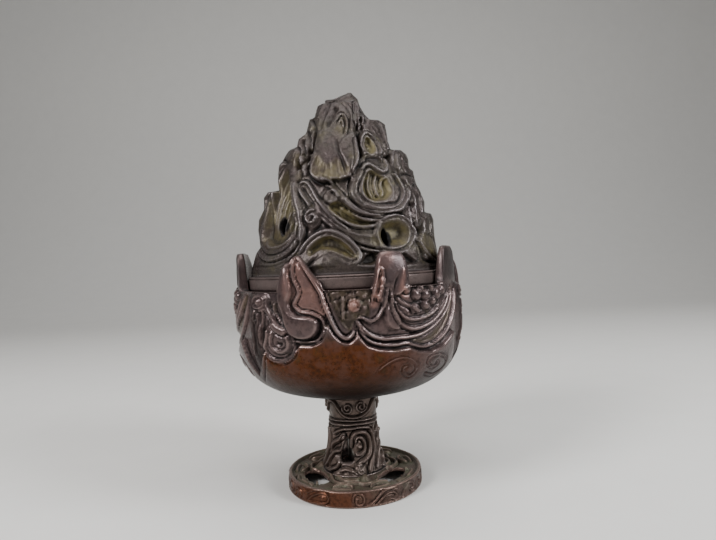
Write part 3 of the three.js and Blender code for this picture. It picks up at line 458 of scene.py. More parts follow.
def cut(piece, shapes):
    """Cuts closed shapes out of a piece"""
    bm = bmesh.new()
    for shape in shapes:
        shape(bm)
    bmesh.ops.recalc_face_normals(bm, faces=bm.faces)
    cutter = new_object("cutter", bm)
    boolean = piece.modifiers.new("opening", "BOOLEAN")
    boolean.operation = "DIFFERENCE"
    boolean.solver = "MANIFOLD"
    boolean.object = cutter
    shown = piece.evaluated_get(bpy.context.evaluated_depsgraph_get())
    mesh = bpy.data.meshes.new_from_object(shown)
    mesh.shade_smooth()
    piece.modifiers.clear()
    old = piece.data
    piece.data = mesh
    bpy.data.meshes.remove(old)
    bpy.data.objects.remove(cutter)


def triples(items, name):
    """The x, y and z that a mesh keeps for each of its items, as rows"""
    values = np.empty(len(items) * 3)
    items.foreach_get(name, values)
    return values.reshape(-1, 3)


def store(mesh, name, values):
    """Keeps a number for each point of a mesh, for the material to read"""
    attribute = mesh.attributes.new(name, "FLOAT", "POINT")
    attribute.data.foreach_set("value", values.astype(np.float32))


# Mountain lid

MOUNTAIN_OUTLINE = [(47.8, 107.4), (47.6, 110), (47.0, 114), (45.2, 122), (43.6, 131), (41.2, 141),
                    (37.4, 150.5), (33.0, 160), (28.6, 168), (24.6, 174.5), (20.6, 181), (16.2, 187),
                    (12.6, 192), (10.6, 195), (9.4, 197.4), (8.4, 199.2), (6.4, 200), (3, 200.1), (0, 200.1)]
MOUNTAIN_ROOM = [(43.5, 107.4), (43.5, 111), (40, 117), (38, 126), (36, 135), (32.5, 145), (28, 154),
                 (23, 162), (17, 171), (10, 180), (4, 187), (0, 189)]
MOUNTAIN_STEPS = 450
MOUNTAIN_ROW = 0.57
ROOM_ROW = 4.0
MOUNTAIN_SKIN = 0.6
GROUND = 2.6
HALF_REACH = 96
HALF_BLEND = 12
SUMMIT_LOW = 190
SUMMIT_HIGH = 198
SUMMIT_LEFT_DROP = 3.6
SUMMIT_FRONT_SLOPE = 0.3
SUMMIT_UNEVENNESS = 0.35
LEAST_ARC_RADIUS = 4
BROAD_FOLDS = 0.8
NARROW_FOLDS = 0.35
OUTLINE_FOLDS = 0.25
ROCK_GRAIN = 0.1
VIEW_DISTANCE = 288
VIEW_HEIGHT = 112
# How far the rock reaches at the left and right outlines that a view from the front sees, as (height, radius)
LEFT_EDGE = [(107, 47.8), (112, 47.2), (115, 46.4), (119, 45), (122, 42.6), (126, 42.9), (131, 43.4),
             (136, 42.6), (141, 40), (147, 39.8), (149.8, 37.6), (150.2, 32), (156, 32.3), (163, 31.6),
             (165.5, 29.6), (168, 28.2), (171, 26), (172.6, 22), (176.5, 20.8), (179, 17.4), (183, 16),
             (186.4, 15.2), (187.4, 12.2), (192, 11), (195, 10.2), (199, 7)]
RIGHT_EDGE = [(107, 47.8), (113, 47), (118, 46.1), (124, 45.3), (132, 45.2), (135.4, 44.2), (136.2, 40.8),
              (141, 41.2), (147, 39.4), (151, 37.6), (154, 36.8), (157.4, 36.2), (159, 34.2), (163, 33.9),
              (166, 33), (168.4, 30.6), (169, 25), (173, 24.2), (177, 23.8), (182, 22.8), (184.4, 20),
              (185, 15.2), (188, 12.4), (192, 10.4), (196, 9.4), (200, 6)]


def carve_rocks(r):
    """The mountain's stepped rocks, from the highest to the lowest"""
    # Left of the summit
    r.rock([(-86, 170), (-80, 178), (-68, 184), (-56, 187), (-40, 187.6), (-30, 184), (-25.6, 179),
            (-25, 171), (-28, 166), (-44, 164), (-66, 166)], -1.6, 0.2)
    r.rock([(-90, 160), (-82, 167), (-72, 172), (-60, 175.4), (-46, 176), (-38, 173.6), (-32, 168.6),
            (-31, 162), (-38, 158), (-56, 158), (-76, 158)], -1.4, 0.6)
    r.rock([(-94, 152), (-86, 160), (-76, 165.4), (-62, 168.4), (-54, 168.6), (-46, 167.4), (-41, 165),
            (-38.4, 158), (-40, 152), (-52, 149), (-72, 149)], -1.2, 0.8)
    r.rock([(-98, 138), (-94, 150), (-84, 158), (-74, 161.6), (-60, 162.4), (-52, 160.6), (-44, 157),
            (-40.6, 153), (-41, 146), (-44, 140), (-60, 134), (-80, 132)], -1.0, 1.0)
    r.ribbon([(-62, 150), (-57, 153.6), (-51, 152.4), (-49.6, 147), (-52, 142)], 2.2, 1.2, groove=1.2)
    r.ribbon([(-46, 155), (-47, 149), (-49, 142), (-50, 136)], 2.6, 1.0, groove=1.4)
    r.rock([(-104, 122), (-102, 137), (-96, 145.4), (-88, 149), (-76, 149.8), (-70, 147), (-65, 141),
            (-63, 132), (-65, 121), (-80, 116), (-96, 117)], -0.8, 0.8)
    r.groove([(-61, 146), (-59, 138), (-60, 130), (-63, 122)], 3.0, 2.2)
    r.groove([(-80, 146), (-78, 138), (-76, 130), (-78, 121)], 2.6, 1.4)
    # Right of the summit, with the subpeak's small cup
    r.rock([(15, 171), (18, 177.6), (23, 183), (29, 186.4), (36, 186), (41, 182), (38, 176), (30, 172),
            (22, 169)], -1.2, 0.4, ribs=0.3)
    r.ribbon([(23, 174), (25.4, 179), (29, 184)], 2.2, 0.9, groove=1.2)
    r.ribbon([(29, 174), (32, 178.6), (36, 183)], 2.0, 0.8, groove=1.0)
    r.rock([(22, 171), (27, 175), (34, 178), (42, 182.4), (54, 185.4), (68, 186), (82, 184.4), (92, 180),
            (94, 172), (86, 166), (70, 163), (52, 163), (40, 161.6), (28, 159.6), (18, 161.4), (18, 166)],
           -0.9, 0.9, ribs=0.4)
    r.groove([(47, 163), (50, 170), (56, 177), (64, 183)], 2.2, 1.4)
    r.ribbon([(51, 164), (55, 171), (62, 177.6), (70, 182)], 2.6, 0.7, groove=0.9)
    r.groove([(66, 164), (70, 171), (76, 178)], 2.4, 1.3)
    r.dish([(22.6, 163.6), (22.8, 168), (27.2, 171.4), (32.6, 171), (35, 167.6), (33.4, 163.8), (28, 162)],
           2.8, wall=1.6)
    r.ribbon([(20, 162.4), (19.2, 167), (23, 171.2), (28.6, 173.4), (34.4, 172), (38.6, 167.6), (36.4, 162.6),
              (30, 160.6)], 2.0, 1.3, groove=0.9, taper=(0.05, 0.1))
    r.boss((27, 167), 2.0, 1.3)
    r.rock([(47, 149), (46.4, 156), (48.6, 161), (54, 165.6), (64, 168.4), (76, 168.8), (88, 168), (98, 163),
            (98, 154), (88, 150), (70, 150), (56, 149.6)], -0.9, 1.0)
    r.ribbon([(48.6, 152.6), (50, 157), (54, 161.4), (60, 165)], 2.8, 0.9, groove=1.2)
    r.groove([(56, 151), (58, 157), (64, 163)], 2.2, 1.4)
    r.rock([(50, 140), (49.6, 148), (53, 152), (64, 152.8), (76, 151.6), (90, 150), (96, 145), (90, 140),
            (70, 140), (57, 139)], -1.0, 0.6)
    r.rock([(52, 128), (53, 139), (57, 145), (66, 148.2), (76, 148), (88, 146.6), (100, 142), (102, 134),
            (90, 130), (70, 128)], -1.0, 0.9, ribs=0.5)
    r.ribbon([(59, 131), (61, 138), (66, 145)], 2.4, 0.8, groove=1.2)
    r.ribbon([(67, 131), (70, 138), (75, 144)], 2.4, 0.8, groove=1.2)
    r.rock([(54, 113), (55, 123), (58, 130), (65, 135), (76, 135.8), (90, 135), (102, 130), (104, 118),
            (92, 112), (72, 111)], -0.9, 0.9)
    r.ribbon([(62, 114), (64, 122), (69, 131)], 2.8, 0.8, groove=1.2)
    r.ribbon([(73, 114), (75, 123), (80, 132)], 2.8, 0.8, groove=1.2)


def carve_summit(r):
    """The summit: one tall rock whose dull scalloped foot overhangs the water"""
    r.rock([(-70, 184), (-64, 190), (-56, 195), (-36, 198), (-11, 199), (10, 200), (38, 200), (60, 196),
            (62, 190), (40, 186.6), (29, 183), (21, 178.6), (17, 173), (16.6, 165), (14, 157), (10, 151.6),
            (5.6, 148.4), (0, 147), (-5, 147.8), (-9.4, 149.6), (-13, 149.2), (-18, 150.6), (-22.6, 153.6),
            (-25, 159), (-24, 167), (-25, 175), (-33, 181), (-48, 184)], 1.0, 0.1, edge=1.3, gap=1.6,
           ribs=0.25)
    r.dish([(-17, 178.6), (-15, 184.4), (-10, 187.8), (-1, 188.4), (2, 186), (-3, 182.6), (-8, 178),
            (-13, 175.6)], 2.0, wall=1.8, stain=0)
    r.groove([(-21, 174), (-20.4, 181), (-18, 188), (-19, 194)], 2.6, 1.2)
    r.ridge([(-30, 182), (-27.6, 186), (-29, 192)], 5.0, 1.0)
    r.ribbon([(-10, 190.4), (-2, 192.4), (7.6, 191.4), (16, 188.4), (18, 183.6), (15.4, 178.6), (13, 173)],
             2.4, 0.6, groove=0.5)
    r.ribbon([(-5, 178.4), (-2, 181.6), (2.6, 183.4), (7, 182.8), (9.2, 179.8), (8, 175.6), (5, 171)], 2.0,
             0.8, groove=0.8)
    r.ribbon([(-1.6, 177.4), (1.4, 179.6), (4.6, 179), (4.8, 175.6)], 1.6, 0.6, groove=0.6)
    r.tarnish([(-6, 172), (-4, 178), (0, 183), (7, 184), (12, 180), (11, 173), (4, 168)], 0.3)
    r.groove([(20, 179.6), (27, 186), (36, 192)], 2.4, 1.2)
    r.ribbon([(20.6, 176.6), (25, 182.4), (32, 188), (42, 193)], 3.4, 0.9, groove=1.2)
    r.groove([(-34, 196), (-20, 192.4), (-10, 193.6), (4, 196)], 2.2, 0.9)
    r.pad([(-1.6, 164), (0, 168), (5, 171), (11, 173), (15.4, 172.4), (15.6, 165), (15.4, 160), (12.6, 154.6),
           (9, 152), (5, 155), (2.4, 159)], 2.3, edge=2.0, crown=0.7, crown_reach=4)
    r.groove([(-3.6, 172), (-2.4, 166), (1, 160), (3.4, 154), (4.6, 149.6)], 2.2, 1.0)
    r.ribbon([(8.6, 150.6), (11.4, 156), (13.6, 161), (14.2, 166), (14.8, 171)], 2.4, 0.8, groove=0.9)
    for angle, low, high, lean in ((-18, 151.6, 164, 2), (-12.6, 150.6, 160, 1), (-7, 149.6, 160, 0),
                                   (-1.4, 149, 157, -1)):
        r.groove([(angle - lean * 0.5, low), (angle, (low + high) / 2), (angle + lean, high)], 2.4, 0.5,
                 taper=(0.3, 0.4))
    r.dish([(-22.4, 156), (-19.6, 151.6), (-12, 150.2), (-6, 149), (0, 148.4), (6, 150), (8, 155), (3, 158),
            (-3, 161), (-9, 158), (-15, 161.6), (-20, 162)], 0.4, wall=4.0, stain=0.55)


def carve_front(r):
    """The relief that the front of the mountain shows"""
    r.strap_rise = 0.7
    r.strap_width = 0.9
    r.level += r.folds * 0.5 - GROUND * 0.55
    carve_rocks(r)
    r.ribbon([(45, 117), (47.6, 126), (50, 134), (51.4, 142), (50.6, 148)], 3.0, 0.9, groove=1.2)
    carve_summit(r)
    # Columns between the scoop and the summit
    r.groove([(-41, 173), (-37, 168), (-31, 163), (-27, 159)], 3.0, 2.4)
    r.groove([(-25.6, 171), (-23.6, 164), (-25, 159), (-23, 154.6)], 2.6, 2.2)
    r.ribbon([(-37.6, 163.6), (-34.4, 160.4), (-30.2, 157), (-26.4, 152.6)], 3.4, 1.6, groove=1.4)
    r.ribbon([(-38, 158), (-35, 154.6), (-32, 150.6)], 2.6, 1.4, groove=1.2)
    r.tarnish([(-44, 152), (-38, 149), (-31, 148), (-28, 154), (-34, 164), (-44, 166)], 0.4)
    # Left scoop, its furrows and its lips
    r.pad([(-67, 112), (-52, 110.6), (-40, 111.4), (-29, 115.6), (-23.4, 122), (-22, 132), (-26, 142),
           (-32, 150), (-42, 160), (-54, 160), (-61, 150), (-65, 136), (-68, 124)], 0.0, edge=1.8, crown=0.6)
    r.dish([(-61, 125), (-54, 120.8), (-45, 119.4), (-36, 120.8), (-30, 124.6), (-27.4, 131), (-31, 140),
            (-36, 148), (-43, 157), (-51, 158), (-57, 148), (-60, 136)], 4.4, wall=4.6, stain=0.45)
    for angle, low, high, lean in ((-56, 128, 158, 3), (-51, 125, 155, 1), (-46, 124, 150, -2),
                                   (-41, 124, 147, -3), (-36.4, 125, 142, -4), (-32.6, 127, 137, -4)):
        r.ridge([(angle + lean, low), (angle + lean * 0.3, (low + high) / 2), (angle - lean, high)], 2.9, 1.3,
                taper=(0.25, 0.3))
    r.ribbon([(-64, 121.6), (-54, 117), (-45, 115.8), (-36.6, 117), (-30, 120), (-26, 124.4)], 3.2, 1.2,
             groove=1.1)
    r.ribbon([(-58, 125.4), (-50, 121.6), (-41, 121.4), (-34, 123.8), (-30.6, 128)], 2.2, 1.1, groove=0.7)
    r.ribbon([(-25, 122), (-24.2, 129), (-27, 137), (-31.6, 144.6), (-35, 151)], 3.4, 1.3, groove=1.1)
    r.groove([(-68, 112), (-54, 112.4), (-42, 112.6), (-31, 115)], 2.0, 1.0)
    # Triangular plane and hollow above the strap
    r.pad([(-6, 149.4), (0, 149.8), (7, 150.6), (6.4, 145), (5, 140), (0, 143.2)], -1.2, edge=1.0)
    r.pad([(-15, 141), (-11, 146), (-5, 147.6), (-1, 143), (3, 139.6), (0, 137), (-5, 136.6), (-10, 138.6)],
          -1.6, edge=1.2)
    r.pebbles([(-13, 140), (-10, 145), (-4, 146), (-1, 142), (-4, 138.6)], 2.6, 1.5, seed=21)
    # Swirl: rings of water about a deep hollow, under the dark cave of its crest
    r.pad([(7, 148), (9, 152), (13, 156.6), (17, 160.4), (25, 162), (33, 162), (39, 161.6), (45, 158),
           (49.6, 152), (51, 145), (49, 138), (39, 133.4), (28, 131.6), (16, 132), (7, 135), (2, 139.6),
           (4, 145)], -1.0, edge=1.6, crown=1.0)
    r.dish([(19, 157), (21, 160.6), (28, 161.6), (35, 160.8), (37, 158), (33, 155), (28, 156.6), (23, 158)],
           1.8, wall=1.4, stain=0)
    r.ribbon([(-15, 151.6), (-10, 149.2), (-4, 145.2), (1, 141), (6, 137.4), (12, 134.8), (20, 133.4),
              (28, 133.2), (36, 134.6), (42.4, 137.4), (47.6, 141.6), (50.2, 147), (49.4, 152)], 3.4, 1.2,
             groove=0.8, taper=(0.1, 0.2))
    r.ribbon([(16.4, 155.6), (12.4, 151.8), (8.4, 147), (8.4, 142.6), (12.4, 138.4), (18, 136.4),
              (24.4, 135.8), (31, 136), (37.3, 136.6), (42.6, 139.6), (46.2, 143.6), (46.4, 148), (44, 151.6),
              (39.6, 153.4)], 4.4, 1.7, groove=1.0, taper=(0.04, 0.1))
    r.dish([(16, 150.4), (19.6, 153.6), (25, 154.6), (31, 152.4), (35.4, 149), (36, 143.6), (30.4, 139.8),
            (22, 138.6), (15.8, 140.6), (14, 145.4)], 3.0, wall=2.2)
    r.ribbon([(15, 153.8), (18.4, 156.4), (22.4, 157), (26, 155.8), (29.6, 154.2), (33.4, 153.8),
              (37.4, 155.4), (38.8, 158.6), (38, 161.4)], 2.4, 1.5, groove=1.0, taper=(0.06, 0.15))
    r.ribbon([(22.6, 153), (19.4, 148.6), (19, 144), (21, 140.6)], 2.0, 1.4, groove=0.7)
    r.ribbon([(28, 152.4), (25, 148.4), (24.4, 144.6), (26, 141.2)], 2.0, 1.5, groove=0.7)
    r.ribbon([(33, 151), (29.6, 147.4), (29.8, 143.8), (27.8, 141.6)], 1.8, 1.5, groove=0.7)
    # Sweeping ridge below the swirl, with the hollow it springs from
    r.dish([(-9, 137.6), (-4, 140.4), (2, 138.8), (8, 134.4), (14, 131.2), (20, 130), (14, 128), (6, 129),
            (-1, 131.6), (-6, 134.4)], 2.4, wall=2.0)
    r.ribbon([(-3, 138.6), (3, 135), (9, 132.2), (16, 131), (24, 131.2), (32, 132.2), (39, 132.4), (44, 131)],
             2.6, 1.0, groove=0.8)
    r.ribbon([(-16, 143), (-11, 138.4), (-6, 134.6), (0, 131.4), (7, 128.8), (15, 128), (23, 128.8),
              (31, 129.8), (39, 130), (45, 128)], 2.4, 1.3, groove=0.9, taper=(0.1, 0.15))
    # Scoop of the smoke hole
    r.pad([(19, 126.6), (22, 131), (30, 132.8), (39, 133), (46, 130), (47.6, 124), (44, 118.4), (36, 115.6),
           (26, 115.8), (18, 118.6)], -0.2, edge=1.2)
    r.dish([(21.6, 127.4), (25, 130.6), (33, 131.4), (40.4, 130.2), (44, 126.4), (42.2, 121.4), (35.4, 118.4),
            (27, 118), (22, 120), (20.2, 123.6)], 4.4, wall=5.0)
    r.ribbon([(22, 130.4), (30, 132.6), (39, 132.8), (45.4, 129.6), (47, 124), (43.6, 118.6), (36, 116.2),
              (28, 116)], 2.0, 1.0, groove=0.6)
    # Diagonal strap with its pointed loop tip
    r.pad([(-31, 149.6), (-26.6, 150.4), (-21, 147.8), (-16.4, 143), (-12, 138), (-7, 133.4), (-1, 129.6),
           (5, 126.2), (11, 124.6), (17, 124.2), (20, 123), (20.6, 118.6), (14, 119.6), (8, 121), (2, 124),
           (-4, 128), (-10, 132), (-15.6, 135.6), (-20.4, 139), (-25.4, 143.4), (-29.6, 146.4)], 0.3,
          edge=1.1, crown=-0.9, crown_reach=2.4)
    r.ribbon([(-30.6, 148), (-26.4, 143.6), (-21, 138.8), (-15.6, 134.6), (-10, 131), (-4, 127), (2, 123),
              (8, 119.8), (15, 117.6), (23, 116.2), (31, 116), (38.6, 117.6), (44, 121), (47, 126),
              (46, 131)], 2.0, 1.3, groove=1.0, taper=(0.03, 0.1))
    r.ribbon([(-30.4, 149.2), (-26, 150), (-20.8, 147), (-15, 140.8), (-9, 135.2), (-3, 131), (4, 127.2),
              (10, 125.2)], 1.8, 1.1, groove=0.9, taper=(0.03, 0.3))
    r.groove([(-27.6, 147.6), (-23.4, 144), (-19.6, 140.8), (-15.6, 137.2)], 1.8, 1.2)
    # Spiral curl beside the strap
    r.pad([(-24, 133), (-22.4, 137), (-18, 138.2), (-13.6, 136), (-12.8, 132), (-15, 128.8), (-19, 128),
           (-23, 130)], -1.0, edge=1.2, crown=0.6)
    r.ridge(spiral((-18.2, 133.2), 3.6, 1.5, 60, arc=0.76), 2.0, 1.6, taper=(0.05, 0.05), soft=False)
    # Arch with its crescent hollow, and the plain swelling below it
    r.pad([(-27, 116), (-23, 122), (-17.6, 126), (-10, 128), (-3.6, 127), (2, 124.6), (7, 121), (10.4, 117),
           (10, 113), (5, 111), (0, 112.6), (-6, 114.8), (-12, 115.6), (-18, 113.6), (-23, 110)], -0.2,
          edge=1.2)
    r.dish([(-21, 118.6), (-16.6, 122.6), (-9.6, 125), (-3, 124), (2, 121.4), (6.2, 117.6), (7.4, 114.6),
            (4.4, 113.8), (-1, 115.6), (-7, 117.6), (-13, 117.8), (-18.6, 115.6)], 3.2, wall=2.6)
    r.ribbon([(-26, 116), (-22, 121.4), (-16.6, 125), (-10, 126.8), (-4, 126), (1.6, 123.6), (6.4, 120),
              (9, 116.4), (8, 112.8), (3.6, 112)], 2.2, 1.1, groove=0.8, taper=(0.06, 0.06))
    r.pad([(-20, 107.8), (-17.6, 112.4), (-12, 116), (-6, 116), (0, 113.6), (5, 111.8), (11, 110.6),
           (12, 107.8)], 0.1, edge=0.9, crown=0.9)
    r.dish([(10, 111.8), (12.4, 115.8), (18, 116.4), (20, 113), (15, 110.8)], 2.6, wall=1.2, stain=0.3)
    r.ribbon([(9, 118.8), (14, 117.4), (20, 117)], 1.8, 0.8, groove=0.5)
    # Small leaf under the scoop and the drape beside it
    r.pad([(35, 116.4), (39, 114), (43.6, 112), (46.6, 115), (45.4, 119.6), (41, 117.8)], 0.3, edge=0.9,
          crown=0.6)
    drape = [(50, 121), (53, 116), (59, 112.4), (67, 110.6), (74, 112), (73, 119), (66, 124), (57, 125)]
    r.pad(drape, 0.0, edge=1.2, crown=0.9)
    r.tarnish(drape, 0.6)
    r.ribbon([(49, 122.6), (54, 116.6), (61, 112.4), (70, 110.6)], 2.0, 0.8, groove=0.7)


def room_beside(angle, height, radius):
    """How far above its ground the rock can rise before the front view sees it outside the two outlines"""
    beside = np.maximum(np.abs(np.sin(np.radians(angle))), 0.3)
    nearer = VIEW_DISTANCE / (VIEW_DISTANCE - radius * np.cos(np.radians(angle)))
    narrow = 1 / np.hypot(1, radius * beside * nearer / VIEW_DISTANCE)
    seen = VIEW_HEIGHT + (height - VIEW_HEIGHT) * nearer * narrow**2
    left, right = [np.interp(seen, *np.array(edge).T) for edge in (LEFT_EDGE, RIGHT_EDGE)]
    return np.where(angle < 0, left, right) / (narrow * beside * nearer) - radius


def mountain_level(angle, height, radius, points):
    """The mountain's relief and its olive at many points: the front's drawing serves the back as well"""
    arc = np.maximum(radius, LEAST_ARC_RADIUS) * math.radians(1)
    folds = (crags(points, across=10, tall=44, shift=7, octaves=3) * BROAD_FOLDS
             + crags(points, across=4.2, tall=17, shift=40, octaves=2) * NARROW_FOLDS)
    marks = repeated(carve_front, HALVES, HALF_REACH, HALF_BLEND, angle, height, arc, folds=folds)
    level, stain = marks[:2]
    room = room_beside(angle, height, radius)
    level += (np.minimum(level, room) - level) * fade(np.abs(np.sin(np.radians(angle))), 0.5, 0.7)
    tangent = np.degrees(np.arccos(radius / VIEW_DISTANCE))
    level += (room + OUTLINE_FOLDS * folds - level) * (1 - fade(np.abs(np.abs(angle) - tangent), 5, 15))
    level += ROCK_GRAIN * crags(points, across=1.9, tall=9, shift=90, octaves=2)
    return level, stain


def summit_drop(points):
    """How far the very top falls away: most at its left, a little to the front, and unevenly"""
    left = SUMMIT_LEFT_DROP * (1 - fade(points[:, 0], -5, 8))
    front = SUMMIT_FRONT_SLOPE * np.maximum(-points[:, 1], 0)
    return left + front + SUMMIT_UNEVENNESS * (1 + lumps(points, size=4, seed=13, octaves=2))


def make_mountain():
    """The mountain, hollow and open below"""
    rows = spaced(smooth_path(MOUNTAIN_OUTLINE, 8), MOUNTAIN_ROW)
    rows[0] = (MOUNTAIN_RADIUS, MOUNTAIN_FOOT)
    room = spaced(smooth_path(MOUNTAIN_ROOM, 4), ROOM_ROW)
    room[0] = (MOUNTAIN_ROOM[0][0], MOUNTAIN_FOOT)
    bm = spun([*room[::-1], *rows], MOUNTAIN_STEPS)

    def change(angle, radius, height, points):
        outer = radius > np.interp(height, rows[:, 1], rows[:, 0]) - MOUNTAIN_SKIN
        level, stain = np.zeros((2, len(angle)))
        level[outer], stain[outer] = mountain_level(angle[outer], height[outer], radius[outer], points[outer])
        start = fade(height, MOUNTAIN_FOOT + 2.6, MOUNTAIN_FOOT + 4.8)
        top = fade(radius, 2.0, 10.0)
        summit = fade(height, SUMMIT_LOW, SUMMIT_HIGH) * (outer | (height > SUMMIT_LOW))
        return angle, radius + level * start * top, height - summit_drop(points) * summit, {"stain": stain}

    place(bm, change)
    return new_piece("mountain", bm, "lid", "mountain_lid")


mountain = make_mountain()


# Bowl

BOWL_OUTLINE = [(13.6, 45.5), (16.5, 46.1), (21.5, 47.3), (26.5, 48.5), (31.5, 49.8), (36.5, 51.3),
                (41.4, 53.3), (46.2, 56.4), (50.9, 61), (54.6, 67.4), (56.8, 76), (57.5, 84), (57.6, 91),
                (57.2, 97), (56.8, 100.7)]
BOWL_ROOM = [(46.2, 96.2), (50, 93), (52.0, 88), (52.4, 78), (50.8, 71), (46.6, 64.2), (40, 58.4), (32, 54.8),
             (22, 52.2), (13, 50.1)]
BOWL_SPIGOT = [(3.4, 50.1), (3.4, 42), (7.6, 42), (7.6, 45.5)]
BOWL_MOUTH = 46.2
BOWL_STEPS = 540
BOWL_ROW = 0.6
PEAK_ROW = 0.65
PEAK_BACK_ROW = 1.4
BOWL_GROUND = 2.1
BOWL_PROUD = 0.3
PROUD_SHARE = 0.35
CAST_WEAR = 0.12
BOWL_MIDDLE = 10
BOWL_REACH = 64
BOWL_BLEND = 8
BELLY_START = 58
PEAK_HEIGHT = 18.0
PEAK_INNER = 50.8
PEAK_LEAN = 2.2
PEAK_ROUNDING = 1.5
PEAK_THINNING = 0.9
# How dark the painted shade is on the upright side peaks and under the belly
UPRIGHT_SHADE = 0.65
UNDERSIDE_SHADE = 0.88
# The rim peaks at the two sides stand more upright, as (middle, half width, lean)
UPRIGHT_PEAKS = ((71, 19, 1.2), (-84, 21, 0))
RIM_PEAK_A = [(-32, 0), (-31.6, 4), (-31, 8), (-30, 11), (-28.5, 12.6), (-26, 13.5), (-24.8, 14.9),
              (-23, 15.8), (-21.3, 15.6), (-19.5, 14), (-17.5, 11), (-15, 8), (-12.5, 5.5), (-10.8, 3.5),
              (-10, 1), (-9.4, 0)]
RIM_PEAK_B = [(12, 0), (13.2, 3), (14.3, 7), (15, 11), (15.8, 14), (17.2, 15.7), (20, 16.2), (24, 16.1),
              (27.5, 15.6), (29.0, 13.5), (29.4, 10), (29.7, 6), (30, 2.5), (30.6, 0)]
RIM_PEAK_C = [(53.6, 0), (54.6, 4), (55.6, 9), (57, 14), (59, 17.4), (63, 18.2), (74, 18.2), (80, 17),
              (84, 12), (87, 6), (89, 0)]
RIM_PEAK_D = [(-104, 0), (-103, 8), (-101, 15), (-97, 18.2), (-90, 18.8), (-80, 18.8), (-74, 18.4),
              (-71.6, 16), (-69.6, 9), (-67.6, 4), (-66, 0)]
RIM_PEAKS = [RIM_PEAK_A, RIM_PEAK_B, RIM_PEAK_C, RIM_PEAK_D, shifted(RIM_PEAK_A, 120),
             shifted(RIM_PEAK_B, 120), shifted(RIM_PEAK_C, 120), shifted(RIM_PEAK_A, 240)]


def peak_height(angle):
    """How far the rim's peaks stand over the rim"""
    total = np.zeros(len(angle))
    for outline in RIM_PEAKS:
        peak = np.array(outline)
        middle = peak[:, 0].mean()
        across = wrap(angle - middle)
        total = np.maximum(total, np.interp(across, peak[:, 0] - middle, peak[:, 1], left=0, right=0))
    return total


def peak_lean(angle):
    """How far the rim's peaks lean in at their tips"""
    lean = np.full(len(angle), PEAK_LEAN)
    for middle, half, least in UPRIGHT_PEAKS:
        lean[np.abs(wrap(angle - middle)) < half] = least
    return lean


# Where the plain belly ends and the carved water begins, round one third of the bowl
WATER_LINE = [(-66, 84), (-60, 79), (-57, 70), (-52, 63), (-46, 68), (-41, 75), (-36, 71.6), (-30, 70.6),
              (-24.6, 73), (-21, 78.6), (-15, 78.4), (-10.6, 80.6), (-8.8, 86), (-7.6, 87), (-5, 82.4),
              (-2, 79.6), (1, 79), (3.6, 81), (4.6, 83.6), (6, 81), (9, 77.4), (14, 75.6), (21, 74.6),
              (26, 75), (29, 75.2), (34, 73), (42, 72), (51, 74), (60, 79), (63, 70), (68, 63), (74, 68)]


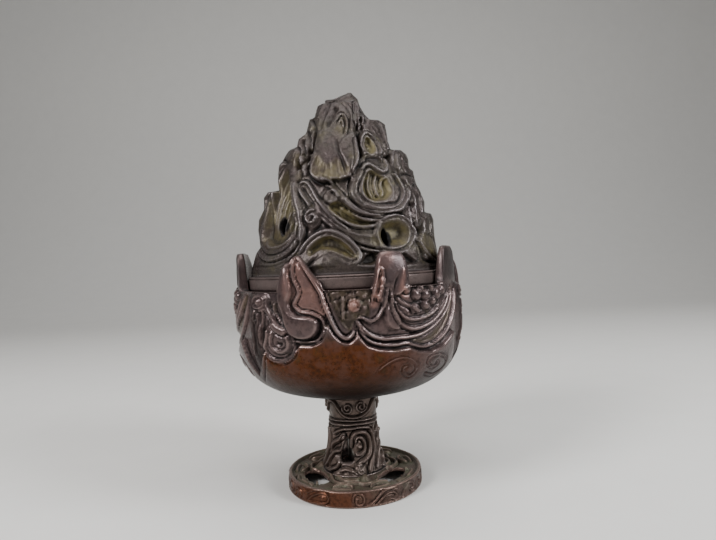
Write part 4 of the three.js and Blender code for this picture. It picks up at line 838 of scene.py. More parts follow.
def carve_waves(r):
    """One third of the bowl's waves; it goes round three times"""
    r.strap_rise = 0.62
    r.strap_width = 0.84
    above = r.height - np.interp(r.angle, *np.array(WATER_LINE).T)
    r.level -= BOWL_GROUND * fade(above, -0.7, 0.7)
    bare = 1 - fade(above, -1.5, 0.5)
    r.glow += (fade(r.angle, -47, -39) * (1 - fade(r.angle, 10, 52)) * (1 - fade(r.height, 76, 86))
               * (0.7 + 0.3 * fade(r.height, 46, 60)) * bare)
    # Cliff with long strokes, at the left
    r.pad([(-62, 66), (-64, 82), (-62, 101), (-50, 101), (-46, 96), (-43, 88), (-41.6, 80), (-43, 73),
           (-47, 67), (-53, 62)], -0.6, edge=1.4, crown=0.4)
    r.flutes([(-64, 62), (-64, 101), (-50, 101), (-45, 92), (-42, 82), (-44, 72), (-49, 66), (-56, 62)], 2.2,
             0.8, slant=0.2, seed=31)
    r.groove([(-39.6, 78), (-40.6, 74), (-42.6, 68), (-48, 62), (-56.4, 56.6)], 1.5, 1.6)
    r.ribbon([(-41, 94), (-41.6, 88), (-42.8, 82), (-41.4, 76)], 2.0, 1.3, groove=1.0)
    r.ribbon([(-46, 91), (-47.4, 85), (-47, 79), (-49, 72)], 2.2, 1.2, groove=1.0)
    # Curled wave under a thick strap
    r.pad([(-40.6, 80), (-39, 85), (-35, 88), (-29, 87.6), (-25, 84), (-22.6, 79), (-25.6, 74), (-31, 71.4),
           (-36.6, 72.2), (-40.4, 76)], -1.2, edge=1.4, crown=0.9, crown_reach=5.0)
    r.ribbon([(-37.6, 86), (-37.8, 81.6), (-40, 77), (-38.4, 73.4), (-34.4, 71.4), (-28.6, 71.8), (-24, 74.8),
              (-22.4, 79.4)], 2.6, 1.6, groove=1.0, taper=(0.1, 0.1))
    r.ribbon([(-34, 84.6), (-36, 80.4), (-34.4, 76.6), (-30.4, 75.4), (-26.6, 77.4), (-26.2, 81),
              (-29, 82.2)], 2.4, 1.6, groove=0.9, taper=(0.1, 0.1))
    r.groove([(-33, 80), (-31, 78.6), (-29, 79.4)], 2.6, 1.4)
    r.ribbon([(-39.6, 98), (-38.2, 94), (-35, 90.2), (-33, 86.4), (-29.4, 84.4), (-26, 84.6)], 4.4, 2.2,
             groove=1.1, taper=(0.1, 0.15))
    r.ribbon([(-33.6, 97), (-34, 93.4), (-32, 90), (-29.4, 87.6)], 2.0, 1.3, groove=0.9)
    # Eye shaped ornament on the rim
    r.pad([(-49, 99), (-46.6, 100.6), (-40, 100.6), (-37.4, 98), (-38.6, 93.6), (-43, 92.4), (-47.4, 94)],
          -0.8, edge=1.0, crown=0.5)
    r.ribbon([(-47.6, 96), (-46, 98.8), (-42.6, 99.6), (-39.6, 98), (-39.6, 95.6), (-42.4, 94.2), (-46, 94.6),
              (-47.6, 96)], 1.5, 1.3, groove=0.6, taper=(0, 0))
    r.boss((-43.4, 96.8), 1.8, 1.6)
    r.ribbon([(-45, 93.6), (-46.4, 90.6), (-45, 87)], 1.8, 1.2, groove=0.8)
    # Rim peak A: a pointed loop, a sunk panel, and a smooth hump that swells into a lobe
    r.pad([(-32.6, 99), (-32, 106), (-30.6, 111), (-27, 113.8), (-23.4, 116.8), (-20, 115), (-16.4, 110),
           (-11.6, 105), (-9.4, 99), (-8.6, 93), (-11, 90), (-20, 90), (-30, 92)], -1.5, edge=1.0)
    r.pad([(-27.4, 113.4), (-29.6, 108), (-30.8, 101), (-30.2, 96), (-28.6, 92.6), (-27.4, 87.4), (-25, 83.2),
           (-20.7, 81), (-16, 81.4), (-13, 83.6), (-12, 86.8), (-13, 89.4), (-17, 90.6), (-21.4, 91),
           (-24.4, 93.4), (-25.4, 97), (-24.4, 100.7), (-25, 105.4), (-25.6, 110)], 0.4, edge=1.5, crown=1.7,
          crown_reach=4.6)
    r.groove([(-23, 84), (-19, 82.8), (-15.6, 84)], 1.6, 0.3)
    r.ribbon([(-22.4, 115.6), (-23.8, 111), (-23, 106.2), (-21.4, 103.4), (-20.6, 100.6), (-21.8, 98),
              (-22.8, 95.6), (-20, 92.8), (-14.6, 91.8), (-10.4, 89.4), (-9.4, 85.8), (-11.8, 81.2),
              (-15.6, 79.8), (-21, 79.8), (-25.6, 81)], 2.2, 1.5, groove=1.1, taper=(0.02, 0.08))
    r.ribbon([(-22.4, 116), (-19.4, 114), (-16, 109), (-12.8, 104.2), (-10.3, 100), (-8.8, 95.2),
              (-6.8, 89.6), (-4, 83.8), (-0.6, 80.9), (2.4, 81.9), (3.6, 84.8)], 2.7, 2.2, groove=1.2,
             taper=(0.03, 0.07))
    r.ribbon([(-14, 108.4), (-10.6, 104), (-8.2, 99.6), (-7, 95.6)], 1.4, 1.3, groove=0.6)
    # Hollow between the two peaks, with its pebbles and rosette
    r.dish([(-7, 101), (-5.4, 93.5), (-2.4, 87.9), (1.6, 84), (4, 88), (7, 90), (10, 90), (11, 94.9),
            (10.3, 101)], 0.8, wall=1.0, stain=0.5)
    r.pebbles([(-6, 101), (-4.6, 94), (-2, 88.6), (3, 88), (9, 90), (11, 94), (10.6, 101)], 2.3, 1.4, seed=35)
    r.ribbon([(-1.2, 99), (-0.8, 94), (-1.2, 88.6)], 2.4, 1.3, groove=0.8)
    r.boss((3.8, 94.6), 2.1, 1.7)
    r.ribbon([(1.2, 94), (2, 96.4), (4.6, 96.8), (6.4, 95), (5.4, 92.8), (3, 92.4)], 1.4, 1.3, groove=0.6)
    r.boss((8.4, 98), 1.8, 1.4)
    r.boss((8.6, 93.4), 1.6, 1.3)
    # Rim peak B: smooth at the top, a long loop at its left, a hooked leaf at its right, an arch under them
    r.pad([(12.4, 99), (13.4, 105), (15, 111.6), (17, 116.8), (22, 117.6), (28, 117), (30.4, 113),
           (30.6, 106), (29.6, 99), (26, 95), (20, 93)], -0.7, edge=1.0, crown=0.8)
    r.ribbon([(11.4, 94), (12.4, 98.4), (13.6, 103), (14.8, 107.6), (16, 109.8), (17.2, 108.6), (17.2, 105),
              (16.2, 101), (15, 97.6), (14.2, 94.6)], 1.5, 1.5, groove=0.9, taper=(0.08, 0.08))
    r.groove([(14.2, 98.6), (15.2, 103), (16, 107.4)], 1.8, 1.1, taper=(0.1, 0.1))
    r.pad([(19.3, 102.6), (18, 98), (17.4, 92), (18, 86), (21, 83.4), (24, 84), (23, 90), (21.2, 94),
           (20.2, 98.4)], -0.5, edge=1.0, crown=0.4)
    r.ribbon([(19.2, 102.6), (18.2, 98.5), (17, 93.8), (14.6, 89.6), (12.4, 88), (10.2, 87.6), (7, 89.2),
              (4.6, 89)], 1.8, 1.9, groove=1.0, taper=(0.08, 0.08))
    r.ribbon([(19.4, 102.4), (20.4, 98), (21.8, 93.4), (24, 89.6)], 1.3, 1.3, groove=0.8, taper=(0.08, 0.1))
    r.pad([(26.8, 109.4), (25.2, 106.8), (24.4, 104), (23.2, 101.4), (23, 98.8), (24.8, 96.8), (27.6, 95.4),
           (31.4, 94), (31.6, 96.4), (29.8, 98.6), (27.8, 100.8), (26.2, 103), (26.8, 105.6), (27.6, 108)],
          0.3, edge=0.8, crown=0.8, crown_reach=2.4)
    r.groove([(24.6, 108), (23.2, 104.6), (21.8, 101), (21.8, 98), (24, 95.6), (27.6, 93.8), (31, 92.6)], 1.6,
             1.1)
    r.groove([(27.4, 101.6), (29.8, 99.6), (31.6, 97.4)], 1.5, 0.9)
    # Crescent with its hatching, and the round pebbles over it
    r.pad([(21, 97), (22.4, 91), (26, 86), (31, 84), (38, 84.6), (46, 88), (54, 94), (56, 100), (44, 101),
           (30, 101), (24, 98)], -1.9, edge=1.0)
    for angle, height, size in ((33.6, 97.4, 2.5), (39.2, 97, 2.7), (46.6, 97.2, 2.7), (32.4, 91.6, 2.2),
                                (38.4, 92.8, 2.3), (43, 94.4, 2.0), (36.2, 100, 1.9), (42.8, 99.8, 2.0),
                                (50.8, 98.6, 2.3), (28.6, 100, 2.0)):
        r.ball((angle, height), size * 1.05, 1.9)
    r.ribbon([(22.4, 97), (26.5, 94.2), (31, 92.2), (34, 89.6)], 2.4, 1.4, groove=0.8)
    r.ribbon([(22, 97), (23.4, 91.4), (29, 87.2), (37, 87.2), (44.3, 89.6), (49, 93.6)], 2.2, 1.6, groove=0.8,
             taper=(0.08, 0.15))
    for stroke in range(7):
        start = 28 + 2.8 * stroke
        level = 89.6 + 0.06 * (stroke - 2) ** 2
        r.ridge([(start, level + 1.2), (start + 1.0, level - 1.0)], 1.1, 0.6, taper=(0.3, 0.3), soft=False)
    r.ribbon([(20.2, 99.6), (20.8, 92.4), (24, 86.4), (29.8, 83.1), (37, 83.4), (45.6, 86.4), (53.4, 92),
              (58.6, 99)], 2.7, 2.0, groove=1.1, taper=(0.08, 0.1))
    # Long lines of the wave
    r.ribbon([(4.2, 89), (7, 84.6), (11, 81.4), (16.6, 79.7), (23.4, 79.6), (29, 79.5), (36, 80.4),
              (45.5, 84), (54.6, 89.6), (60, 95), (64, 101)], 2.5, 1.9, groove=1.0, taper=(0.05, 0.08))
    r.ribbon([(4.9, 86), (9.2, 79.8), (14.9, 77.5), (21.7, 76.7), (27.6, 77), (31, 75.9), (37.6, 74.4),
              (46, 75.6), (55, 79.8), (62, 86), (66, 93), (69, 101)], 2.3, 1.7, groove=0.9,
             taper=(0.04, 0.08))
    r.dish([(31, 78.2), (37, 78.4), (45, 81.4), (53, 86.6), (59, 93), (62, 99), (65.4, 99), (61, 90.6),
            (54, 82.6), (46, 77.6), (38, 76.2), (33, 76.8)], 0.8, wall=1.0, stain=0.45)
    # Copper where hands rub most, and painted shade
    r.wash([(-27, 101), (-26.4, 109), (-23, 116), (-19, 114), (-13, 106), (-9, 99), (-7, 92), (-11, 89.6),
            (-18, 91.4), (-23, 94)], copper=0.4)
    r.wash([(13, 108), (15, 113), (18, 117), (23, 117), (21, 111), (17, 108)], copper=0.25)
    r.wash([(26.8, 109), (24.8, 104), (23.6, 99.4), (25.2, 97.4), (29, 96), (29, 98.4), (26.6, 101.4),
            (27.4, 106)], copper=0.7, feather=1.6)
    r.wash([(11, 94), (12.4, 100), (15, 109), (17.4, 108.6), (16.4, 101), (14.6, 94)], copper=0.6, feather=2)
    # Painted shade in the hollow between the peaks
    r.wash([(-6, 101), (-4.6, 93), (-1, 87), (3, 85), (9, 89), (11, 95), (10.6, 101)], painted_shade=0.35)
    r.wash([(1.8, 93), (1.8, 96), (3.8, 97), (5.8, 96), (5.8, 93), (3.8, 92)], copper=0.9, feather=1.4)
    # Painted shade on the cliff at the left
    r.wash([(-66, 60), (-66, 101), (-50, 101), (-45, 92), (-42, 82), (-43, 72), (-48, 64), (-56, 60)],
           painted_shade=0.7)
    # Curls on the belly
    r.ribbon([(10.5, 62.3), (15.2, 67.6), (21.1, 70.7), (26.6, 70.9), (31.6, 68.4), (33.6, 64.6), (31.1, 62),
              (27.3, 63.6), (26, 66.2), (28.6, 67.2)], 1.5, 0.5, groove=0.6, taper=(0.15, 0.05))
    r.ribbon([(39, 63), (44, 60.8), (50.4, 59.8), (57, 62), (56, 66.4), (48.4, 69.6), (41.4, 69.4),
              (40.4, 66.6), (44.8, 64.2), (48.5, 65.2), (46, 67.4)], 1.5, 0.5, groove=0.6, taper=(0.1, 0.05))


def bowl_profile(side):
    """The bowl's section, from its underside over the rim peaks to its spigot in the column"""
    low = side[side[:, 1] < BELLY_START][::2]
    high = side[side[:, 1] >= BELLY_START]
    outer = [(high[-1][0], RIM + z) for z in np.arange(0.5, PEAK_HEIGHT + 0.1, PEAK_ROW)]
    inner = [(PEAK_INNER, RIM + z) for z in np.arange(PEAK_HEIGHT + 0.4, 0.2, -PEAK_BACK_ROW)]
    mouth = [(PEAK_INNER - 0.6, RIM), (BOWL_MOUTH + 0.4, RIM), (BOWL_MOUTH, RIM - 0.4)]
    return [*low, *high, *outer, *inner, *mouth, *smooth_path(BOWL_ROOM, 3), *BOWL_SPIGOT]


def make_bowl():
    """The bowl with its rim peaks and waves"""
    side = spaced(smooth_path(BOWL_OUTLINE, 8), BOWL_ROW)
    bm = spun(bowl_profile(side), BOWL_STEPS, closed=True)

    def change(angle, radius, height, points):
        over = height > RIM + 0.25
        outside = over & (radius > PEAK_INNER + 2)
        inside = over & ~outside
        up = np.clip((height - RIM) / (PEAK_HEIGHT + 0.4), 0, 1)
        peak = np.maximum(peak_height(angle), 0.3)
        height = np.where(over, RIM + up * peak, height)
        top = peak / PEAK_HEIGHT
        lean = peak_lean(angle)
        rounding = PEAK_ROUNDING * up**10 * np.clip(top * 3, 0.2, 1)
        radius = np.where(outside, radius - (lean * up**2 * top + rounding), radius)
        radius = np.where(inside, radius + PEAK_THINNING * up**8, radius)
        line = np.interp(height, side[:, 1], side[:, 0])
        carved = outside | (~over & (radius > line - 0.4) & (height > 54) & (height < RIM + 0.1))
        marks = np.zeros((5, len(angle)))
        arc = radius * math.radians(1)
        marks[:, carved] = repeated(carve_waves, THIRDS, BOWL_REACH, BOWL_BLEND, angle[carved],
                                    height[carved], arc[carved], middle=BOWL_MIDDLE)
        level, stain, glow, copper, painted_shade = marks
        level = np.minimum(level, BOWL_PROUD + PROUD_SHARE * (level - BOWL_PROUD))
        level = level + CAST_WEAR * lumps(points, size=14, seed=5) * carved
        # Painted shade on the upright side peaks and on the underside of the belly
        upright = outside & (lean < PEAK_LEAN)
        painted_shade = np.maximum(painted_shade, UPRIGHT_SHADE * upright * fade(up, 0, 0.3))
        painted_underside = UNDERSIDE_SHADE * (1 - fade(height, 50, 72)) * (radius > line - 0.6)
        painted_shade = np.maximum(painted_shade, painted_underside)
        shoulder = np.where(outside, 1 - 0.5 * up**3, 1)
        return (angle, radius + level * shoulder, height,
                {"stain": stain, "glow": glow, "copper": copper, "painted_shade": painted_shade})

    place(bm, change)
    bmesh.ops.remove_doubles(bm, verts=bm.verts, dist=MM * 0.04)
    return new_piece("bowl_casting", bm, "cup", "bowl")


bowl = make_bowl()


# Plain band of the lid

BAND_STEPS = 240
BAND_BORE = 41.2
BAND_WEAR = 0.06
LIP_RADIUS = 45.7
LIP_BOTTOM = 97.4
SPIGOT_RADIUS = 43.1
SPIGOT_TOP = 109.4


def make_band():
    """The turned ring under the mountain, with a lip below it and a spigot above it"""
    top = MOUNTAIN_FOOT
    low = BAND_BOTTOM
    lip = [(BAND_BORE, LIP_BOTTOM), (LIP_RADIUS, LIP_BOTTOM), (LIP_RADIUS, low)]
    side = [(49.2, low), (49.9, low + 0.7), (49.9, top - 1.5), (49.5, top - 1.2), (49.5, top - 0.9),
            (49.8, top - 0.6), (49.2, top)]
    spigot = [(SPIGOT_RADIUS, top), (SPIGOT_RADIUS, SPIGOT_TOP), (BAND_BORE, SPIGOT_TOP)]
    bm = spun([*lip, *side, *spigot], BAND_STEPS, closed=True)
    edges = [edge for edge in bm.edges if abs(edge.verts[0].co.z - edge.verts[1].co.z) < MM * 0.01
             and edge.calc_face_angle(0) > 0.4]
    bmesh.ops.bevel(bm, geom=edges, offset=0.25 * MM, affect="EDGES", segments=2, profile=0.5, material=-1,
                    offset_type="OFFSET", clamp_overlap=True)

    def change(angle, radius, height, points):
        return angle, radius + BAND_WEAR * lumps(points, size=24, seed=51, octaves=2), height, {}

    place(bm, change)
    return new_piece("turned_band", bm, "lid", "lid_band")


band = make_band()


# Stem: a column of twisting water, open in three places

STEM_OUTLINE = [(16.4, 7.9), (15.6, 11), (14.6, 15), (13.6, 20), (12.8, 26), (12.7, 31), (13.2, 36),
                (13.6, 41), (13.7, 45.5)]
STEM_BORE = [(8.4, STEM_TOP), (8.4, 34), (8.2, 26), (8.4, 18), (8.0, STEM_BOTTOM)]
STEM_STEPS = 300
STEM_ROW = 0.34
STEM_SKIN = 10.5
STEM_WEAR = 0.25
STEM_TWIST = 1.2
STEM_TWIST_RATE = 0.35
STEM_CUT_START = 6.5
STEM_CUT_END = 16.0
CUT_BEYOND = 6
STEM_WINDOW = [(-30, 15), (-26, 13.4), (-16, 13), (-6, 13.6), (-1.4, 16), (-4, 19), (-9, 22.4), (-15, 26.4),
               (-20, 24), (-26, 20)]
THIRD_REACH = 68
THIRD_BLEND = 16


def carve_stem(r):
    """One third of the column: scrolls in hanging arcs over a collar, and strands that twist round a swirl"""
    r.strap_rise = 0.75
    r.level -= 1.1
    # Collar
    r.ribbon([(-74, 41.6), (-60, 43.8), (-44, 43), (-33, 40), (-22, 37.2), (-8, 35.9), (8, 35.7), (24, 36.6),
              (40, 39), (50, 42), (60, 43.8), (74, 42)], 1.7, 1.3, groove=0.7, taper=(0, 0))
    r.ridge(spiral((-11, 40.8), 3.1, 1.7, 150, arc=0.235), 1.3, 1.6, taper=(0.05, 0.05), soft=False)
    r.ridge(spiral((19, 41.4), 3.3, 1.9, 20, arc=0.235, hand=-1), 1.3, 1.6, taper=(0.05, 0.05), soft=False)
    r.ribbon([(-74, 33.8), (-36, 34.1), (0, 34.2), (36, 34), (74, 33.8)], 1.2, 0.9, groove=0.8, taper=(0, 0))
    r.ribbon([(-74, 31.6), (-36, 32), (0, 32.3), (36, 32.2), (74, 31.6)], 1.7, 1.3, groove=0.8, taper=(0, 0))
    r.ribbon([(-60, 26.4), (-48, 27.6), (-37, 28.8), (-22, 29.9), (-5, 30.2), (16, 30.6), (39, 30),
              (52, 28.4)], 1.8, 1.4, groove=0.8)
    # Swirl round a boss
    r.ribbon([(-8, 19.6), (-6.4, 23.4), (-1, 26.4), (8, 28), (19, 28.4), (32, 27.4), (39, 24.6), (40, 20.9),
              (35.7, 17.5), (27, 15.4), (14, 13.8), (0, 12.4)], 2.5, 2.0, groove=0.9, taper=(0.08, 0.12))
    r.ribbon([(2, 22.6), (5, 25.2), (12, 26), (21, 25), (25.6, 22.4), (24.6, 20), (18.7, 18.2), (9, 17.6),
              (3.6, 18.6)], 1.9, 1.6, groove=0.8, taper=(0.08, 0.1))
    r.boss((13.4, 21.4), 2.2, 1.9)
    # Strands that twist down to the foot
    r.ribbon([(-19, 28.8), (-26, 26.4), (-38, 24.4), (-52, 22.8), (-62, 19.8), (-70, 15.6), (-78, 11)], 2.6,
             2.0, groove=0.9, taper=(0.1, 0.05))
    r.ribbon([(-16.6, 27.4), (-24, 24.4), (-25.6, 21.4), (-32, 19.6), (-44, 18.8), (-56, 15.6), (-64, 10)],
             2.2, 1.8, groove=0.8, taper=(0.1, 0.05))
    r.ribbon([(-44, 17), (-35.6, 16.6), (-31, 14.4), (-34.6, 12), (-44, 10.6), (-56, 9.2)], 2.1, 1.9,
             groove=0.8, taper=(0.15, 0.1))
    r.ribbon([(42, 29.4), (49.6, 27), (50, 22), (47, 17.6), (40, 14), (34, 10.6), (30, 8.6)], 2.5, 2.0,
             groove=0.9, taper=(0.1, 0.1))
    r.ribbon([(54, 30.6), (62, 27), (66, 22.6), (64, 17.6), (56, 12.6), (44, 9.6)], 2.3, 1.8, groove=0.8,
             taper=(0.1, 0.1))
    r.ribbon([(-30, 9.8), (-16, 11), (-4, 10.2), (6, 8.6)], 2.0, 1.4, groove=0.6)
    # Knob with a coil at the root
    r.ball((13, 10.2), 3.3, 1.5)
    r.ridge(spiral((13, 10.4), 2.0, 1.3, 90, arc=0.27), 0.9, 0.8, taper=(0.05, 0.05), soft=False)
    # The slit of the opening sinks in, with painted shadow over it
    slit = [(-19, 28), (-15.6, 27.4), (-13, 23), (-6, 20), (0, 17.6), (0, 14.4), (-8, 13.2), (-18, 13.8),
            (-27, 16), (-26, 19), (-20, 22)]
    r.dish(slit, 2.6, wall=1.2)
    r.wash(slit, painted_shade=1.0, feather=1.2)


def in_thirds(carve, angle, height, radius):
    """Relief of the column or the foot, whose drawing of one third goes round three times"""
    arc = radius * math.radians(1)
    return repeated(carve, THIRDS, THIRD_REACH, THIRD_BLEND, angle, height, arc)


def tunnel(outline, near, far):
    """A closed prism through a wall: the outline is drawn in degrees and millimetres, as relief is"""
    def shape(bm):
        loop = smooth_loop(outline, 4)
        middle = math.radians((loop[:, 0].min() + loop[:, 0].max()) / 2)
        across = Vector((math.cos(middle), math.sin(middle), 0))
        out = Vector((math.sin(middle), -math.cos(middle), 0))
        corners = []
        for angle, height in loop:
            side = far * math.sin(math.radians(angle) - middle)
            corners.append((across * side + out * near + Vector((0, 0, height))) * MM)
        pushed(bm, corners, out * (far - near + CUT_BEYOND) * MM)
    return shape


def make_stem():
    """The hollow column with its three openings"""
    side = spaced(smooth_path(STEM_OUTLINE, 6), STEM_ROW)
    bm = spun([*side, *STEM_BORE], STEM_STEPS, closed=True)

    def change(angle, radius, height, points):
        carved = radius > STEM_SKIN
        marks = np.zeros((5, len(angle)))
        marks[:, carved] = in_thirds(carve_stem, angle[carved], height[carved], radius[carved])
        level, _, _, _, painted_shade = marks
        ends = fade(height, STEM_BOTTOM, STEM_BOTTOM + 1) * (1 - fade(height, STEM_TOP - 1, STEM_TOP))
        level += STEM_WEAR * lumps(points, size=7, seed=43, octaves=2) * carved
        twist = STEM_TWIST * np.sin(height * STEM_TWIST_RATE)
        return angle + twist * carved, radius + level * ends, height, {"painted_shade": painted_shade}

    place(bm, change)
    column = new_piece("column", bm, "cup", "stem")
    windows = [shifted(STEM_WINDOW, turn) for turn in THIRDS]
    cut(column, [tunnel(window, STEM_CUT_START, STEM_CUT_END) for window in windows])
    return column


stem = make_stem()


# Foot: a pierced disc of waves inside a ring

FOOT_TOP = 7.9
FOOT_RADIUS = 34.15
DISC_RADIUS = 33.1
DISC_START = 12.0
FOOT_STEPS = 600
DISC_ROW = 0.5
RING_ROW = 0.25
FOOT_UNDERSIDE = [(34.1, 0.7), (33.7, 0.2), (33.2, 0), (30.2, 0), (29.7, 0.4), (29.6, 4.4), (29.2, 4.9),
                  (9.4, 4.9), (8.5, 5.3), (8.5, 6.8), (3.4, 6.8), (3.4, 11.4), (7.6, 11.4), (7.6, FOOT_TOP)]
# One opening through the disc, as (radius, angle)
FOOT_WINDOW = [(18.2, -20), (17.0, -6), (17.2, 8), (18.6, 22), (22, 26), (25.6, 22), (26.6, 8), (26.4, -8),
               (25.2, -22), (21.6, -25)]
FOOT_WINDOW_ANGLES = (-62, 58, 178)
FOOT_CUT_START = 3.0
FOOT_CUT_HEIGHT = 9


def carve_foot_top(r):
    """One third of the disc's waves from above; the heights of its drawing are distances from the middle"""
    r.strap_rise = 0.75
    r.level -= 1.3
    # Lenses of spray along the ring
    for angle in (-52, -12, 26):
        r.ribbon([(angle - 12, 28.8), (angle - 7, 25.8), (angle, 24.2), (angle + 7, 25.6),
                  (angle + 12, 28.8)], 1.7, 2.1, groove=0.7, taper=(0.3, 0.3))
        r.ribbon([(angle - 12, 29.4), (angle - 6, 29.8), (angle, 29.8), (angle + 6, 29.8),
                  (angle + 12, 29.4)], 1.5, 1.7, groove=0.5, taper=(0.3, 0.3))
    # Swelling under the column's knob, and strands that leave it
    r.boss((16.7, 18), 3.6, 2.6)
    r.ribbon([(-50, 16), (-40, 17.6), (-26, 21), (-12, 22.6), (4, 21.6), (12, 23.4), (24, 23), (34, 20.6),
              (44, 16.6)], 2.0, 1.6, groove=0.7)
    r.ribbon([(-34, 16), (-24, 17.2), (-12, 19), (0, 19.2), (8, 17)], 1.9, 1.5, groove=0.7)
    r.ribbon([(-72, 28), (-60, 30), (-46, 31)], 1.8, 1.0, groove=0.5)
    r.ribbon([(44, 29), (56, 30.4), (70, 30)], 1.8, 1.0, groove=0.5)


def carve_foot_side(r):
    """One third of the waves on the side of the ring"""
    r.strap_rise = 0.75
    r.level -= 0.5
    # Plain step
    r.pad([(-19.6, 0.2), (-20, 4), (-19.6, 7.6), (-11, 7.8), (-2.6, 7.6), (-2.2, 4), (-2.6, 0.2), (-11, 0)],
          -0.1, edge=0.6)
    # Ball curl and the two lines that sweep up from it
    r.boss((3, 3.8), 3.4, 0.5)
    r.ribbon([(-1.4, 2.4), (-1.2, 5), (1.4, 6.6), (5, 6.4), (7.4, 4.6), (6.8, 2.2), (3.8, 1.2), (1.2, 2.2),
              (1.2, 4), (3.4, 4.6)], 1.0, 0.7, groove=0.4, taper=(0.05, 0.05))
    r.ribbon([(9.4, 0.8), (13, 1.4), (16.8, 2.8), (20.6, 5), (24.4, 6.6), (30, 7), (38, 6.9)], 1.3, 0.7,
             groove=0.5, taper=(0.1, 0.1))
    r.ribbon([(15, 0.6), (19.3, 1.8), (23, 3.6), (27, 4.9), (32, 4.9), (35.4, 3.4), (33, 1.8), (29.6, 2.2)],
             1.2, 0.7, groove=0.5, taper=(0.1, 0.08))
    r.ribbon([(38, 0.8), (42, 2.2), (45, 4.6), (50, 6.2), (55, 5.6), (57, 3.6), (53.6, 2.2), (50.4, 3.4)],
             1.2, 0.7, groove=0.5, taper=(0.1, 0.08))
    r.ribbon([(56, 0.8), (61, 2), (66, 4.6), (72, 6.4)], 1.2, 0.6, groove=0.4)
    # Long almond at the left of the step
    r.ribbon([(-42, 1), (-37, 3.8), (-30, 5.8), (-23.6, 6), (-21, 4.2), (-23.6, 1.9), (-29.5, 1.3),
              (-35.4, 1.3), (-42, 1)], 1.1, 0.7, groove=0.4, taper=(0, 0))
    r.boss((-26.6, 3.7), 1.6, 0.6)
    r.ribbon([(-58, 1.2), (-58.4, 3.8), (-54, 5.2), (-49.6, 4), (-50.4, 1.9), (-53.8, 2)], 1.1, 0.7,
             groove=0.4, taper=(0.08, 0.08))
    r.ribbon([(-48, 6), (-42, 5.2), (-36, 6.6), (-30, 7.2)], 1.1, 0.5, groove=0.4)


def foot_window(at):
    """A rounded opening through the disc"""
    def shape(bm):
        corners = []
        for radius, angle in smooth_loop(FOOT_WINDOW, 5):
            turn = math.radians(angle + at)
            corner = Vector((radius * math.sin(turn), -radius * math.cos(turn), FOOT_CUT_START))
            corners.append(corner * MM)
        pushed(bm, corners, Vector((0, 0, FOOT_CUT_HEIGHT * MM)))
    return shape


def make_foot():
    """The ring foot with its disc of waves and its three openings"""
    top = [(radius, FOOT_TOP) for radius in np.arange(DISC_START, 33.0, DISC_ROW)]
    edge = [(33.2, FOOT_TOP), (33.8, 7.6), (34.1, 7.1), (FOOT_RADIUS, 6.5)]
    side = [(FOOT_RADIUS, height) for height in np.arange(6.3, 0.8, -RING_ROW)]
    bm = spun([*top, *edge, *side, *FOOT_UNDERSIDE], FOOT_STEPS, closed=True)

    def change(angle, radius, height, points):
        disc = (height > FOOT_TOP - 0.05) & (radius > DISC_START - 0.1) & (radius < DISC_RADIUS)
        rise = np.zeros(len(angle))
        rise[disc] = in_thirds(carve_foot_top, angle[disc], radius[disc], radius[disc])[0]
        rise *= 1 - fade(radius, 31.6, 32.4)
        rise += 1.2 * disc * np.exp(-((radius - 15.4) / 2) ** 2)
        wall = (radius > FOOT_RADIUS - 0.15) & (height > 0.8) & (height < 7.2)
        level = np.zeros(len(angle))
        level[wall] = in_thirds(carve_foot_side, angle[wall], height[wall], radius[wall])[0]
        worn = CAST_WEAR * lumps(points, size=9, seed=47, octaves=2)
        glow = wall * fade(angle, -80, -50) * (1 - 0.5 * fade(angle, -4, 0)) * (1 - fade(angle, 0, 35))
        marks = {"stain": 0.7 * disc, "glow": glow}
        return angle, radius + level + worn * wall, height + rise + worn * disc, marks

    place(bm, change)
    casting = new_piece("foot_casting", bm, "cup", "foot")
    cut(casting, [foot_window(at) for at in FOOT_WINDOW_ANGLES])
    return casting


foot = make_foot()


# Smoke holes

# Each as (angle, height of its middle)
SMOKE_HOLES = [(26, 122.9), (206, 122.9), (-43, 130.4), (137, 130.4), (78, 147.4), (258, 147.4)]
SMOKE_HALF_WIDTH = 2.3
SMOKE_HALF_HEIGHT = 4.2
SMOKE_CUT_LENGTH = 44
SMOKE_CUT_MIDDLE = 36
# Where the painted shade beside each smoke hole lies
HOLE_SHADE_SHIFT = 1.7
HOLE_SHADE_HALF_WIDTH = 2.7
HOLE_SHADE_HALF_HEIGHT = 3.1


def smoke_hole(at):
    """An upright oval tunnel through the lid's wall"""
    def shape(bm):
        made = bmesh.ops.create_cone(bm, cap_ends=True, segments=32, radius1=1, radius2=1,
                                     depth=SMOKE_CUT_LENGTH * MM)["verts"]
        angle = math.radians(at[0])
        out = Vector((math.sin(angle), -math.cos(angle), 0))
        bmesh.ops.scale(bm, verts=made, vec=(SMOKE_HALF_WIDTH * MM, SMOKE_HALF_HEIGHT * MM, 1))
        turn = Matrix.Rotation(angle, 3, "Z") @ Matrix.Rotation(math.radians(90), 3, "X")
        bmesh.ops.rotate(bm, verts=made, cent=(0, 0, 0), matrix=turn)
        bmesh.ops.translate(bm, verts=made, vec=out * SMOKE_CUT_MIDDLE * MM + Vector((0, 0, at[1] * MM)))
    return shape


